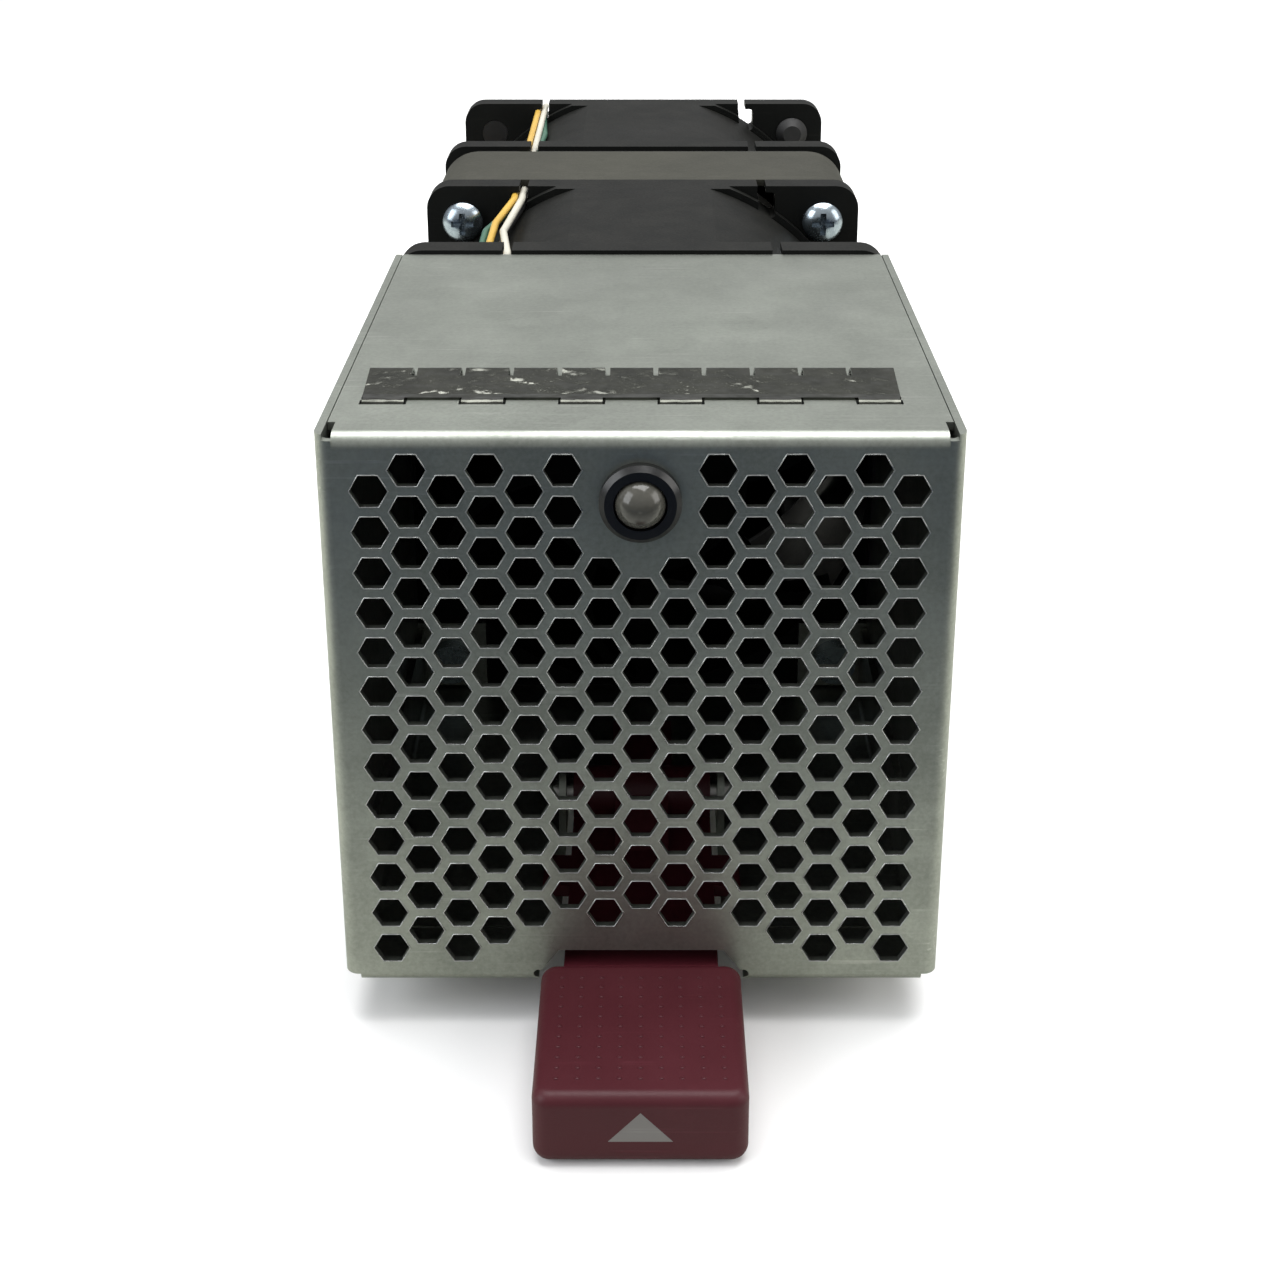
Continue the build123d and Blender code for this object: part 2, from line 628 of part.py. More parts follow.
def blade_section(height, share):
    """Thin cambered section on the plane at this height above the axis; share runs from root to tip."""
    reach = ROOT_REACH + (TIP_REACH - ROOT_REACH) * share
    drop = 2.5 * share
    nose = Vector(-reach / 2, BLADE_FRONT + drop / 2)
    tail = Vector(reach / 2, BLADE_REAR - drop)
    middle = (nose + tail) / 2
    across = (tail - nose).rotate(Axis.Z, 90).normalized()
    camber = 0.07 * (tail - nose).length
    upper = ThreePointArc(nose, middle + across * (camber + BLADE_THICKNESS / 2), tail)
    lower = ThreePointArc(tail, middle + across * (camber - BLADE_THICKNESS / 2), nose)
    return Plane(origin=(0, 0, height)) * make_face([upper, lower])


def fan_impeller():
    """Hub cup with twisted blades lofted from three sections and trimmed to the barrel."""
    tip_r = BORE_R - TIP_CLEARANCE
    low = HUB_OUTER_R / 2
    heights = [low, (low + tip_r) / 2, tip_r + 3]
    blade = loft([blade_section(height, number / 2) for number, height in enumerate(heights)])
    blade = blade & slab(Circle(tip_r) - Circle(YOKE_R + HUB_WALL / 2), HUB_FRONT, FAN_DEPTH)
    cup = slab(Circle(HUB_OUTER_R), HUB_FRONT, HUB_REAR)
    cup = fillet(cup.faces().sort_by(Axis.Y)[-1].edges(), HUB_EDGE_R)
    cup -= slab(Circle(YOKE_R), HUB_FRONT - 1, HUB_REAR - HUB_CAP)
    return cup + [Rot(0, 360 / BLADES * number, 0) * blade for number in range(BLADES)]


def rotor_yoke():
    """Steel cup pressed into the hub, with the boss that grips the shaft."""
    cap_front = HUB_REAR - HUB_CAP - YOKE_WALL
    return turned((MAGNET_R, HUB_FRONT + 0.6), (YOKE_R, HUB_FRONT + 0.6), (YOKE_R, HUB_REAR - HUB_CAP),
                  (SHAFT_R, HUB_REAR - HUB_CAP), (SHAFT_R, cap_front - 1.6), (SHAFT_R + 1.4, cap_front - 1.6),
                  (SHAFT_R + 1.4, cap_front), (MAGNET_R, cap_front))


def magnet_ring():
    front = HUB_FRONT + 1.0
    return ring(MAGNET_R, MAGNET_R - MAGNET_WALL, front, front + MAGNET_LENGTH)


def rotor_shaft():
    return slab(Circle(SHAFT_R), BASE_TOP + 0.4, HUB_REAR - HUB_CAP)


def bearing_tube():
    return ring(TUBE_OUTER_R, BEARING_R, BASE_TOP, BASE_TOP + TUBE_LENGTH)


def ball_bearings():
    lower = BASE_TOP + 0.6
    upper = BASE_TOP + TUBE_LENGTH - BEARING_WIDTH
    return [ring(BEARING_R, BEARING_BORE_R, front, front + BEARING_WIDTH) for front in (lower, upper)]


def circuit_board():
    return ring(YOKE_R - BOARD_MARGIN, TUBE_OUTER_R, BASE_TOP, BASE_TOP + BOARD)


def stator_core():
    """Laminated stack with four wound poles."""
    shoe_inner = CORE_R - POLE_SHOE
    shoes = Circle(CORE_R) - Circle(shoe_inner)
    for angle in (45, 135):
        shoes -= Rot(0, 0, angle) * Rectangle(2 * CORE_R + 1, POLE_WIDTH)
    poles = Rectangle(2 * shoe_inner + 0.4, POLE_WIDTH) + Rectangle(POLE_WIDTH, 2 * shoe_inner + 0.4)
    section = shoes + poles + Circle(TUBE_OUTER_R + STATOR_RING) - Circle(TUBE_OUTER_R)
    return slab(section, STATOR_FRONT, STATOR_FRONT + STATOR_LENGTH)


def stator_coils():
    inner = TUBE_OUTER_R + STATOR_RING + 0.1
    half = POLE_WIDTH / 2
    outer = sqrt((CORE_R - POLE_SHOE) ** 2 - (half + COIL_BUILD) ** 2) - 0.1
    rear = STATOR_FRONT + STATOR_LENGTH
    coil = block(inner, outer, STATOR_FRONT - COIL_BUILD, rear + COIL_BUILD, -half - COIL_BUILD, half + COIL_BUILD)
    coil -= block(inner - 1, outer + 1, STATOR_FRONT, rear, -half, half)
    return [Rot(0, angle, 0) * coil for angle in (0, 90, 180, 270)]


# Duct between the fans

def spacer_inside(wall):
    return RectangleRounded(FAN_SIZE - 2 * wall, FAN_SIZE - 2 * wall, SPACER_CORNER_R - wall)


def make_duct_spacer():
    """Square duct with a screw boss in each corner."""
    section = RectangleRounded(FAN_SIZE, FAN_SIZE, SPACER_CORNER_R) - spacer_inside(SPACER_WALL)
    bosses = [Pos(x, z) * Circle(SPACER_BOSS_R) for x, z in corner_spots(FAN_HOLE_SPACING)]
    webs = [Pos(x * 1.06, z * 1.06) * Rectangle(SPACER_BOSS_R, SPACER_BOSS_R)
            for x, z in corner_spots(FAN_HOLE_SPACING)]
    holes = [Pos(x, z) * Circle(SCREW_R) for x, z in corner_spots(FAN_HOLE_SPACING)]
    corner = RectangleRounded(FAN_SIZE, FAN_SIZE, SPACER_CORNER_R)
    section = (section + (Sketch() + bosses + webs & corner)) - holes
    return Pos(0, 0, FAN_AXIS) * slab(section, SPACER_FRONT, SEAL_FRONT)


def make_spacer_seal():
    """Dark foam gasket squeezed between the spacer and the rear fan."""
    size = FAN_SIZE - 2 * SEAL_INSET
    inside = size - 2 * SEAL_WALL
    section = RectangleRounded(size, size, SPACER_CORNER_R - SEAL_INSET)
    section -= RectangleRounded(inside, inside, 1.5)
    section -= [Pos(x, z) * Circle(SPACER_BOSS_R - 0.4) for x, z in corner_spots(FAN_HOLE_SPACING)]
    section -= Pos(-NOTCH_OFFSET - KEYHOLE_SHIFT, FAN_SIZE / 2 - 3.6) * Rectangle(KEYHOLE_WIDTH + 0.6, 6.6)
    return Pos(0, 0, FAN_AXIS) * slab(section, SEAL_FRONT, FAN2_FRONT)


# Screws

def pan_screw(radius, head_r, head, length):
    """Pan-head screw along +Y, with the underside of its head at Y = 0."""
    rim = 0.6 * head
    profile = make_face([
        Line((0, length), (radius, length)), Line((radius, length), (radius, 0)),
        Line((radius, 0), (head_r, 0)), Line((head_r, 0), (head_r, -head + rim)),
        ThreePointArc((head_r, -head + rim), (head_r * 0.72, -head + 0.28 * rim), (0, -head)),
        Line((0, -head), (0, length))])
    screw = revolve(profile, Axis.Y)
    recess = slab(Rectangle(0.8, 1.1 * head_r) + Rectangle(1.1 * head_r, 0.8), -head - 1, -head * 0.45)
    return screw - recess


def screw_group(screw, spots, depth, facing_rear=False):
    turn = Rot(0, 0, 180) if facing_rear else Rot(0, 0, 0)
    return [Pos(x, depth, z + FAN_AXIS) * turn * screw for x, z in spots]


def make_shell_screws():
    length = FLANGE + SHEET + NUT_HEIGHT
    screw = pan_screw(SCREW_R, SCREW_HEAD_R, SCREW_HEAD, length)
    return screw_group(screw, corner_spots(FAN_HOLE_SPACING), FAN1_FRONT + FLANGE, facing_rear=True)


def make_clinch_nuts():
    front = BOX_LENGTH - SHEET - NUT_HEIGHT
    nut = ring(NUT_R, SCREW_R, front, front + NUT_HEIGHT)
    return [Pos(x, 0, z + FAN_AXIS) * nut for x, z in corner_spots(FAN_HOLE_SPACING)]


def make_spacer_front_screws():
    screw = pan_screw(SCREW_R, SCREW_HEAD_R, SCREW_HEAD, FLANGE + SCREW_BITE)
    return screw_group(screw, corner_spots(FAN_HOLE_SPACING), SPACER_FRONT - FLANGE)


def make_spacer_rear_screws():
    screw = pan_screw(SCREW_R, SCREW_HEAD_R, SCREW_HEAD, FLANGE + SEAL_LENGTH + SCREW_BITE)
    return screw_group(screw, corner_spots(FAN_HOLE_SPACING), FAN2_FRONT + FLANGE, facing_rear=True)


def bracket_spots():
    return [(-HOLE, HOLE), (-HOLE, -HOLE)]


def make_bracket_screws():
    screw = pan_screw(BRACKET_SCREW_R, BRACKET_HEAD_R, SCREW_HEAD, FLANGE + BRACKET_SHEET)
    return screw_group(screw, bracket_spots(), DOCK_FRONT, facing_rear=True)


def make_rear_buffer():
    """Rubber buffer pulled through the rear flange, which takes up play at the back of the bay."""
    buffer = turned((0, -BUFFER_BARB), (SCREW_R, -BUFFER_BARB), (BUFFER_BARB_R, -0.2), (BUFFER_BARB_R, 0),
                    (FAN_HOLE_R, 0), (FAN_HOLE_R, FLANGE), (BUFFER_R, FLANGE), (BUFFER_R, FLANGE + BUFFER_LENGTH - 1),
                    (BUFFER_R - 1, FLANGE + BUFFER_LENGTH), (0, FLANGE + BUFFER_LENGTH))
    return Pos(HOLE, FAN2_REAR - FLANGE, FAN_AXIS + HOLE) * buffer


# Rear docking connector

def make_dock_bracket():
    """Plate on the rear fan's left holes, with an ear folded back beside the connector."""
    left = -FAN_SIZE / 2
    plate = Pos(left + BRACKET_WIDTH / 2, 0) * RectangleRounded(BRACKET_WIDTH, FAN_SIZE - 1, 2.5)
    plate -= [Pos(x, z) * Circle(BRACKET_SCREW_R) for x, z in bracket_spots()]
    bracket = Pos(0, 0, FAN_AXIS) * slab(plate, FAN2_REAR, DOCK_FRONT)
    bracket -= block(left - 1, left + 4.4, FAN2_REAR - 1, DOCK_FRONT + 1,
                     FAN_AXIS + NOTCH_OFFSET - 2, FAN_AXIS + NOTCH_OFFSET + 2.6)
    ear = block(left, left + BRACKET_SHEET, DOCK_FRONT - BRACKET_SHEET, DOCK_REAR - 2,
                DOCK_FLOOR, DOCK_FLOOR + DOCK_HEIGHT)
    return bracket + ear


def dock_left():
    return -FAN_SIZE / 2 + BRACKET_SHEET


def make_dock_connector():
    left = dock_left()
    body = block(left, left + DOCK_WIDTH, DOCK_FRONT, DOCK_REAR, DOCK_FLOOR, DOCK_FLOOR + DOCK_HEIGHT)
    body = fillet(body.edges().filter_by(Axis.Y), 0.8)
    body = chamfer(body.faces().sort_by(Axis.Y)[-1].edges(), 0.4)
    cavity = block(left + DOCK_WALL, left + DOCK_WIDTH - DOCK_WALL, DOCK_REAR - DOCK_CAVITY, DOCK_REAR + 1,
                   DOCK_FLOOR + DOCK_WALL, DOCK_FLOOR + DOCK_HEIGHT - DOCK_WALL)
    return body - cavity


def make_dock_contacts():
    x_middle = dock_left() + DOCK_WIDTH / 2
    z_middle = DOCK_FLOOR + DOCK_HEIGHT / 2
    floor = DOCK_REAR - DOCK_CAVITY
    pin = slab(Circle(CONTACT_R), floor, floor + CONTACT_LENGTH)
    pin = chamfer(pin.faces().sort_by(Axis.Y)[-1].edges(), 0.2)
    return [Pos(x_middle + column * CONTACT_PITCH / 2, 0, z_middle + row * CONTACT_PITCH) * pin
            for column in (-0.8, 0.8) for row in (-1.5, -0.5, 0.5, 1.5)]


# Wires

def beside(route, offset):
    """Shift a route sideways, mitred at each corner, so that parallel wires keep their distance."""
    points = [Vector(*point) for point in route]
    aside = Vector(*offset)
    shifted = [points[0] + aside]
    for before, here, after in zip(points, points[1:], points[2:]):
        run_in = (here - before).normalized()
        run_out = (after - here).normalized()
        corner = aside - run_in * (aside.dot(run_out) / (1 + run_in.dot(run_out)))
        shifted.append(here + corner)
        aside = corner - run_out * corner.dot(run_out)
    shifted.append(points[-1] + aside)
    return shifted


def wire(points):
    """Round wire along straight runs joined by tangent arcs."""
    path = FilletPolyline(*points, radius=WIRE_BEND_R)
    section = Plane(origin=path @ 0, z_dir=path % 0) * Circle(WIRE_R)
    return sweep(section, path=path)


def bundle_tail(across, up):
    """Common route of the front fan's leads, from its rear notch to the docking connector."""
    x = -NOTCH_OFFSET - KEYHOLE_SHIFT
    z = FAN_SIZE - WIRE_DROP - WIRE_PITCH / 2
    turn = FAN2_REAR + WIRE_OVERHANG
    entry = dock_left() + DOCK_WIDTH - 2.6
    start = (x, SPACER_FRONT - FLANGE - 2, z)
    route = [start, (x, turn, z), (entry, turn, DOCK_FLOOR + DOCK_HEIGHT + 4), (entry, turn, DOCK_FLOOR + DOCK_HEIGHT)]
    return beside(route, (across * WIRE_PITCH / 2, 0, up * WIRE_PITCH / 2))


def green_tail():
    """The green lead changes sides inside the spacer, under the others, and bows out in the rear fan's gap."""
    near = bundle_tail(-1, -1)[0]
    far = bundle_tail(1, -1)
    step = SPACER_LENGTH / 5
    low = near.Z - WIRE_DIP
    return [near, (near.X, SPACER_FRONT + step, near.Z), (near.X, SPACER_FRONT + 2 * step, low),
            (far[0].X, SPACER_FRONT + 3 * step, low), (far[0].X, SPACER_FRONT + 4 * step, far[0].Z),
            (far[0].X, FAN2_FRONT + FLANGE, far[0].Z),
            (far[0].X + WIRE_BOW, FAN2_FRONT + FAN_DEPTH / 2, far[0].Z + WIRE_RISE),
            (far[0].X, FAN2_REAR - FLANGE - STEP_LENGTH, far[0].Z)] + far[1:]


def black_tail():
    """The black lead takes the green one's place inside the spacer."""
    near = bundle_tail(1, -1)[0]
    far = bundle_tail(-1, -1)
    step = SPACER_LENGTH / 5
    return [near, (near.X, SPACER_FRONT + 2 * step, near.Z),
            (far[0].X, SPACER_FRONT + 3 * step, far[0].Z)] + far[1:]


def rear_fan_lead(across, up):
    """Lead of the rear fan, from its side window through the side notch to the connector."""
    x = -FAN_SIZE / 2 + WIRE_DROP + WIRE_PITCH / 2
    z = FAN_AXIS + NOTCH_OFFSET + KEYHOLE_SHIFT
    turn = FAN2_REAR + WIRE_OVERHANG
    exit_y = FAN2_FRONT + FLANGE + WINDOW_LENGTH / 2
    gap_end = FAN2_REAR - FLANGE - STEP_LENGTH
    route = [(x + 5.6, exit_y, z + 2.2), (x, exit_y, z + 2.2), (x, (exit_y + gap_end) / 2, z + 0.9),
             (x, gap_end, z), (x, turn, z), (x, turn, DOCK_FLOOR + DOCK_HEIGHT)]
    return beside(route, (0, across * WIRE_PITCH / 2, up * WIRE_PITCH / 2))


def lead_start(aside, foot, bend, settle):
    """First stretch of a front fan lead: up out of the window, then back along the barrel.

    The lead stands this far to the right of the window's middle, and its three points lie this far
    below the top of the fan.
    """
    x = -WINDOW_OFFSET + aside
    exit_y = FAN1_FRONT + FLANGE + LEAD_EXIT
    return [(x, exit_y, FAN_SIZE - foot), (x, exit_y + 0.8, FAN_SIZE - bend),
            (x + 0.4, FAN1_FRONT + FLANGE + LEAD_SETTLE, FAN_SIZE - settle)]


def make_wire_yellow():
    start = lead_start(0.3, 8.9, 3.3, 2.1)
    return [wire(start + bundle_tail(-1, 1)), wire(rear_fan_lead(-1, 1))]


def make_wire_green():
    start = lead_start(-1.0, 10.0, 4.8, 3.2)
    return [wire(start + green_tail()), wire(rear_fan_lead(-1, -1))]


def make_wire_black():
    start = lead_start(1.5, 8.0, 3.6, 3.4)
    return [wire(start + black_tail()), wire(rear_fan_lead(1, 0))]


def make_led_lead():
    front = HOLDER_LENGTH + LED_RIM + LED_LEG_LENGTH + SLEEVE_LENGTH
    x = -NOTCH_OFFSET - KEYHOLE_SHIFT / 2
    z = FAN_SIZE - WIRE_DROP - WIRE_PITCH / 2
    start = [(0, front, LED_HEIGHT), (0, front + 5, LED_HEIGHT), (x / 2, (front + BOX_LENGTH) / 2, LED_HEIGHT + 3.4),
             (x, BOX_LENGTH - 10, z), (x, FAN1_FRONT + FLANGE + LEAD_EXIT, z),
             (x - 1.2, FAN1_FRONT + FLANGE + 2 * LEAD_SETTLE / 3, z + 0.3)]
    return wire(start + bundle_tail(1, 1))


def make_fan(name, front, window):
    """Write every piece of one fan, moved to its place in the row of fans."""
    pieces = {
        "frame": fan_frame(window), "impeller": fan_impeller(), "rotor_yoke": rotor_yoke(),
        "magnet_ring": magnet_ring(), "shaft": rotor_shaft(), "bearing_tube": bearing_tube(),
        "bearings": ball_bearings(), "circuit_board": circuit_board(), "stator_core": stator_core(),
        "stator_coils": stator_coils()}
    for piece, shape in pieces.items():
        save(f"{name}_{piece}", shape, Pos(0, front, FAN_AXIS))


def save(name, shape, place=Pos(0, 0, 0)):
    """Write one piece, as one solid or as a group of separate solids."""
    solids = [solid for part in (shape if isinstance(shape, list) else [shape]) for solid in part.solids()]
    moved = [ROW_SHIFT * place * solid for solid in solids]
    body = moved[0] if len(moved) == 1 else Compound(children=moved)
    export_step(body, f"parts/{name}.step")


def main():
    os.makedirs("parts", exist_ok=True)
    save("front_shell", make_front_shell())
    save("face_grille", make_face_grille())
    save("bottom_plate", make_bottom_plate())
    save("corner_tabs", make_corner_tabs())
    save("contact_strip", make_contact_strip())
    save("led_holder", make_led_holder())
    save("led_lens", make_led_lens())
    save("led_legs", make_led_legs())
    save("led_sleeve", make_led_sleeve())
    save("led_lead", make_led_lead())
    save("latch_lever", make_latch_lever())
    save("release_arrow", make_release_arrow())
    save("latch_pin", make_latch_pin())
    save("latch_spring", make_latch_spring())
    make_fan("front_fan", FAN1_FRONT, lead_window(-WINDOW_OFFSET))
    make_fan("rear_fan", FAN2_FRONT, Rot(0, -90, 0) * lead_window(WINDOW_OFFSET))
    save("duct_spacer", make_duct_spacer())
    save("spacer_seal", make_spacer_seal())
    save("shell_screws", make_shell_screws())
    save("clinch_nuts", make_clinch_nuts())
    save("spacer_front_screws", make_spacer_front_screws())
    save("spacer_rear_screws", make_spacer_rear_screws())
    save("dock_bracket", make_dock_bracket())
    save("dock_connector", make_dock_connector())
    save("dock_contacts", make_dock_contacts())
    save("bracket_screws", make_bracket_screws())
    save("rear_buffer", make_rear_buffer())
    save("wire_yellow", make_wire_yellow())
    save("wire_green", make_wire_green())
    save("wire_black", make_wire_black())


main()
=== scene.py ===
import json
import math

import bpy
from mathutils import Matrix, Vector


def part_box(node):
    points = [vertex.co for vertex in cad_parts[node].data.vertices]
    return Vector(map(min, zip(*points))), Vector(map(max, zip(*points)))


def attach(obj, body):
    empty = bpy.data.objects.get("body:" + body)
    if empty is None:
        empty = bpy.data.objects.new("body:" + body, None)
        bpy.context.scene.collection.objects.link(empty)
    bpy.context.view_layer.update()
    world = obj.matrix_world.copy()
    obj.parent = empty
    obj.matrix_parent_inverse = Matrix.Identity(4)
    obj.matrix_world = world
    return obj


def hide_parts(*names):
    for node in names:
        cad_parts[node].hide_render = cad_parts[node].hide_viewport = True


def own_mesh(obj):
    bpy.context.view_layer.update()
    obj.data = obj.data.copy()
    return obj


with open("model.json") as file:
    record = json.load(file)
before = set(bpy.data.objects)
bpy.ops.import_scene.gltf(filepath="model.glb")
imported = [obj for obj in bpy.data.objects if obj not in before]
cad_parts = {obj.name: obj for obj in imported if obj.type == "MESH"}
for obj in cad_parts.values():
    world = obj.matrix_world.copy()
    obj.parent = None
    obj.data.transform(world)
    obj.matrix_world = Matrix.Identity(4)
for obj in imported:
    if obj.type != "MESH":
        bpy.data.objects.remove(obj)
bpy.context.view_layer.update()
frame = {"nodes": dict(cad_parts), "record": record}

MM = 0.001
MICROMETRES = 1000000

# Places taken from the frame
SHELL_LOW, SHELL_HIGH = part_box("front_shell")
LEVER_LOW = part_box("latch_lever")[0]
LENS_LOW, LENS_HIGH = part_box("led_lens")
FACE = SHELL_LOW.y
LENS_CENTRE = (LENS_LOW + LENS_HIGH) / 2

# Perforation of the face, as punched
HOLE_ACROSS_FLATS = 3.2 * MM
HOLE_PITCH = 4.14 * MM
HOLE_COLUMNS = 15
HOLE_ROWS = 13
HOLE_TOP_MARGIN = 3.47 * MM
LENS_LAND = 6.3 * MM
LATCH_LAND_WIDTH = 25.0 * MM
LATCH_LAND_HEIGHT = 7.5 * MM
RIM_RADIUS = 0.07 * MM
RIM_SIDES = 5
HEXAGON_CORNERS = 6
HALF_CORNER = math.radians(30)
EVEN_SHIFT = 20

# Grip of the latch handle
GRIP_COLUMNS = 9
GRIP_ROWS = 11
GRIP_PITCH_ACROSS = 1.95 * MM
GRIP_PITCH_ALONG = 1.5 * MM
GRIP_DOT_RADIUS = 0.22 * MM
GRIP_DOT_HEIGHT = 0.55
LEVER_TOP_ABOVE_SHELL_BASE = 3.0 * MM
HANDLE_LENGTH = 20.3 * MM

# Camera, as the photograph was taken
IMAGE_SIZE = 1280
FOCAL_PIXELS = 1919
CENTRE_ROW = 400
CENTRE_COLUMN = 647
SENSOR = 36
PITCH_DOWN = 19.59
CAMERA_SPOT = (0.6 * MM, -239.15 * MM, 125.9 * MM)

# Bench under the object: pale to the camera, but to all other rays a painted reflection, darker and bluer away
# from the face. It stands in for the dark surroundings that the sheet metal mirrors
PAINTED_REFLECTION_DARK_Y = -165 * MM
PAINTED_REFLECTION_FAR_TONE = (0.008, 0.022, 0.05, 1)
PAINTED_REFLECTION_NEAR_TONE = (0.70, 0.70, 0.63, 1)
FLOOR_SEEN_TONE = (0.92, 0.92, 0.92, 1)
FLOOR_REACH = 4.0
FLOOR_DROP = 0.2 * MM

# Sky around the object, and the soft lamps: name, place, size, power and colour
HORIZON_TONE = (0.50, 0.51, 0.52, 1)
ZENITH_TONE = (1, 1, 1, 1)
SKY_STRENGTH = 0.62
LAMP_TARGET = (0, 0, 0.03)
LAMPS = (
    ("top softbox", (0.05, 0.10, 0.75), (0.7, 0.7), 9.0, (1, 1, 1)),
    ("left softbox", (-0.65, -0.35, 0.40), (0.45, 0.6), 3.2, (0.94, 0.97, 1.0)),
    ("right softbox", (0.70, -0.20, 0.35), (0.4, 0.5), 2.0, (1.0, 0.98, 0.95)))

# What every surface effect gives a material
SURFACE_OUTPUTS = [
    ("Colour", "NodeSocketColor"), ("Roughness", "NodeSocketFloat"), ("Normal", "NodeSocketVector")]


def srgb(red, green, blue):
    """Linear colour from the 0 to 255 values a screen shows."""
    def linear(value):
        value /= 255
        return value / 12.92 if value <= 0.04045 else ((value + 0.055) / 1.055) ** 2.4
    return (linear(red), linear(green), linear(blue), 1.0)


# Node helpers

def add(tree, kind, **settings):
    node = tree.nodes.new(kind)
    for name, value in settings.items():
        setattr(node, name, value)
    return node


def feed(tree, socket, value):
    """Link a socket to another one, or set it to a plain value."""
    if isinstance(value, bpy.types.NodeSocket):
        tree.links.new(value, socket)
    else:
        socket.default_value = value


def math_node(tree, operation, first, second=None, clamp=False):
    node = add(tree, "ShaderNodeMath", operation=operation, use_clamp=clamp)
    for socket, value in zip(node.inputs, (first, second)):
        if value is not None:
            feed(tree, socket, value)
    return node.outputs[0]


def scaled(tree, value, amount, clamp=False):
    return math_node(tree, "MULTIPLY", value, amount, clamp)


def swing(tree, value, amount, middle=0.5):
    """How far a value is from its middle, times an amount."""
    return scaled(tree, math_node(tree, "SUBTRACT", value, middle), amount)


def summed(tree, *values, clamp=False):
    """The sum of the values. Only the last step is clamped to 0 to 1."""
    total = values[0]
    for value in values[1:-1]:
        total = math_node(tree, "ADD", total, value)
    return math_node(tree, "ADD", total, values[-1], clamp)


def mix_colour(tree, factor, first, second, blend="MIX"):
    node = add(tree, "ShaderNodeMix", data_type="RGBA", blend_type=blend)
    for place, value in ((0, factor), (6, first), (7, second)):
        feed(tree, node.inputs[place], value)
    return node.outputs[2]


def remap(tree, value, low, high, to_low, to_high):
    node = add(tree, "ShaderNodeMapRange")
    labels = ("Value", "From Min", "From Max", "To Min", "To Max")
    for label, number in zip(labels, (value, low, high, to_low, to_high)):
        feed(tree, node.inputs[label], number)
    return node.outputs["Result"]


def noise_node(tree, place, scale):
    node = add(tree, "ShaderNodeTexNoise")
    tree.links.new(place, node.inputs["Vector"])
    feed(tree, node.inputs["Scale"], scale)
    return node


def noise(tree, place, scale, detail=3.0, roughness=0.5):
    node = noise_node(tree, place, scale)
    node.inputs["Detail"].default_value = detail
    node.inputs["Roughness"].default_value = roughness
    return node.outputs["Fac"]


def stretched(tree, place, scale, turn=(0, 0, 0)):
    """The place turned and scaled, for a pattern that runs along one direction."""
    node = add(tree, "ShaderNodeMapping")
    tree.links.new(place, node.inputs["Vector"])
    node.inputs["Scale"].default_value = scale
    node.inputs["Rotation"].default_value = turn
    return node.outputs["Vector"]


def bump(tree, height, distance, strength=1.0, normal=None):
    node = add(tree, "ShaderNodeBump")
    tree.links.new(height, node.inputs["Height"])
    feed(tree, node.inputs["Distance"], distance)
    feed(tree, node.inputs["Strength"], strength)
    if normal is not None:
        tree.links.new(normal, node.inputs["Normal"])
    return node.outputs["Normal"]


def shader_group(name, inputs, outputs):
    tree = bpy.data.node_groups.new(name, "ShaderNodeTree")
    for label, kind, value in inputs:
        socket = tree.interface.new_socket(label, in_out="INPUT", socket_type=kind)
        if value is not None:
            socket.default_value = value
    for label, kind in outputs:
        tree.interface.new_socket(label, in_out="OUTPUT", socket_type=kind)
    return tree, add(tree, "NodeGroupInput").outputs, add(tree, "NodeGroupOutput").inputs


# Shared surface effects

